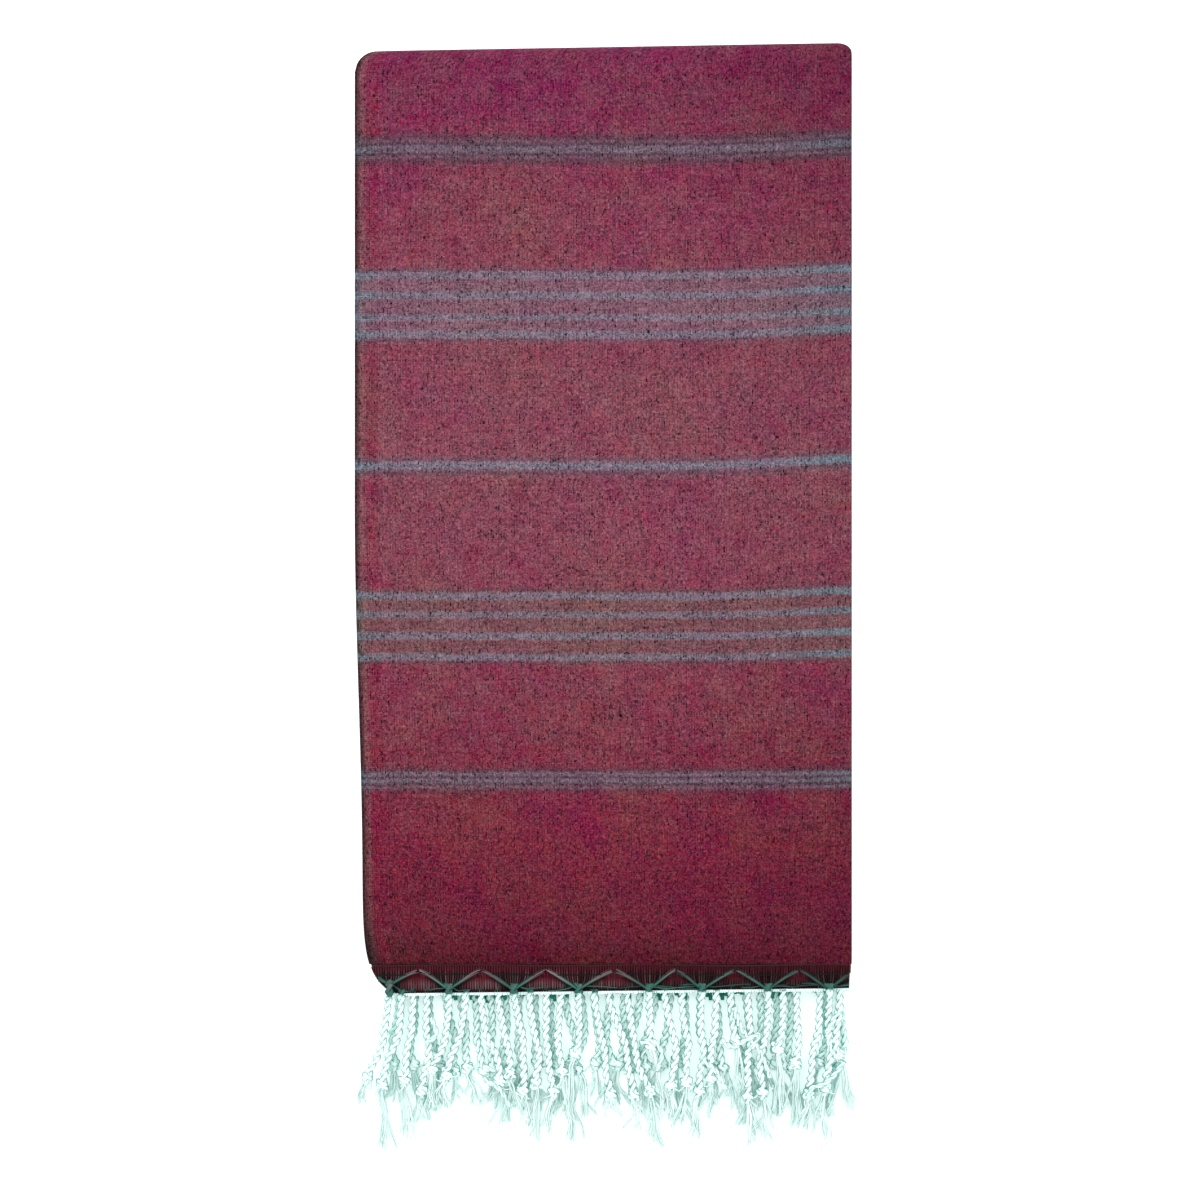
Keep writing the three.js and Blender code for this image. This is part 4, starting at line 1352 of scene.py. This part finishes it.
class TOWEL_OT_fringes(bpy.types.Operator):
    """Makes the gathered warp ends, their knots, the twisted cords and the brushed tails"""

    bl_idname = "towel.fringes"
    bl_label = "Fringes"

    def execute(self, context):
        sizes, colours = settings()
        tree = strand_tree(shared_material("twisted_cotton_yarn", spun_cotton, colours))
        plies = {"Ply radius": sizes.ply_radius, "Ply sides": sizes.ply_sides}
        values = {**plies, "Twist pitch": sizes.twist_pitch}
        fine = {**values, "Thread radius": sizes.thread_radius, "Thread sides": 4}
        coarse = {**values, "Thread radius": sizes.yarn_radius, "Thread sides": 6}

        groups = [Strands() for _ in range(4)]
        for cords in all_cords():
            rows = lanes(cords)
            for index, c in enumerate(cords):
                lay_cord(groups[c["node"]], c, rows, index, colours)
        lay_slack(groups[0], colours)
        for n, strands in enumerate(groups):
            obj = spun("cords_%d" % (n + 1), strands, tree, fine)
            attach(obj, "root")
            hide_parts("fringe_%d" % (n + 1))

        ends = Strands()
        lay_fans(ends, colours)
        obj = spun("gathered_ends", ends, tree, coarse)
        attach(obj, "root")
        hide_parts("fringe_1")

        ribs = Strands()
        # The fifth value is the painted shade of each layer's ends: the deeper layers are darker
        for top, bottom, height, spacing, shade, seed in (
            (12.8, -1.2, lambda y: fan_height(True, y), RIB, 1, 70),
            (8.4, -1.6, lambda y: strip_height(False, STRIP_3, y), 1.6, 0.5, 80),
            (8, -2.2, lambda y: strip_height(True, STRIP_4, y), 1.6, 0.5, 90),
        ):
            lay_ribs(ribs, colours, top, bottom, height, spacing, shade, seed)
        obj = spun("hidden_ends", ribs, tree, coarse)
        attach(obj, "root")
        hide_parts("fringe_2", "fringe_3", "fringe_4")
        return {"FINISHED"}


class TOWEL_OT_stage(bpy.types.Operator):
    """Makes the paper floor, the soft lights and the camera that looks straight down"""

    bl_idname = "towel.stage"
    bl_label = "Floor, lights and camera"

    def execute(self, context):
        _, colours = settings()
        scene = bpy.context.scene
        corners = [(x * FLOOR_HALF, y * FLOOR_HALF, 0) for x, y in ((-1, -1), (1, -1), (1, 1), (-1, 1))]
        floor = new_piece("paper_floor", corners, [(0, 1, 2, 3)], smooth=False)
        floor.data.materials.append(shared_material("white_studio_paper", backdrop_paper, colours))

        scene.view_settings.view_transform = "Standard"
        scene.world = bpy.data.worlds.new("studio")
        scene.world.use_nodes = True
        back = scene.world.node_tree.nodes["Background"]
        back.inputs["Color"].default_value = (*linear("#eafefd"), 1)
        back.inputs["Strength"].default_value = 0.9
        for name, at, size, power in (("key", (-0.6, 0.9, 1.6), 1.4, 20), ("fill", (1.0, -0.6, 1.5), 1.6, 8)):
            light = bpy.data.lights.new(name, "AREA")
            light.shape, light.size, light.energy = "SQUARE", size, power
            light.color = linear("#fff4f2")
            obj = bpy.data.objects.new(name, light)
            obj.location = at
            obj.rotation_euler = (-Vector(at)).to_track_quat("-Z", "Y").to_euler()
            scene.collection.objects.link(obj)

        camera = bpy.data.cameras.new("camera")
        camera.lens, camera.sensor_width, camera.sensor_fit = LENS, SENSOR, "HORIZONTAL"
        camera.dof.use_dof = False
        eye = bpy.data.objects.new("camera", camera)
        # The photograph's middle is 1.5 mm to the left of the towel's, seen from straight above
        eye.location = (-0.0015, (197.3 + SHIFT_Y) / 1000, FRAME_WIDTH * LENS / SENSOR + 0.014)
        scene.collection.objects.link(eye)
        scene.camera = eye
        return {"FINISHED"}


class TOWEL_PT_panel(bpy.types.Panel):
    bl_label = "Folded towel"
    bl_idname = "TOWEL_PT_panel"
    bl_space_type = "VIEW_3D"
    bl_region_type = "UI"
    bl_category = "Towel"

    def draw(self, context):
        layout = self.layout
        for group in settings():
            box = layout.box()
            for key in group.bl_rna.properties.keys():
                if key not in ("rna_type", "name"):
                    box.prop(group, key)
        for operator in OPERATORS:
            layout.operator(operator.bl_idname)


OPERATORS = [TOWEL_OT_folded_cloth, TOWEL_OT_stacked_layers, TOWEL_OT_fringes, TOWEL_OT_stage]
CLASSES = [TowelSizes, TowelColours, *OPERATORS, TOWEL_PT_panel]


def register():
    for cls in CLASSES:
        bpy.utils.register_class(cls)
    bpy.types.Scene.towel_sizes = PointerProperty(type=TowelSizes)
    bpy.types.Scene.towel_colours = PointerProperty(type=TowelColours)


def unregister():
    del bpy.types.Scene.towel_colours
    del bpy.types.Scene.towel_sizes
    for cls in reversed(CLASSES):
        bpy.utils.unregister_class(cls)


def main():
    register()
    bpy.ops.towel.stage()
    bpy.ops.towel.folded_cloth()
    bpy.ops.towel.stacked_layers()
    bpy.ops.towel.fringes()


if __name__ == "__main__":
    main()
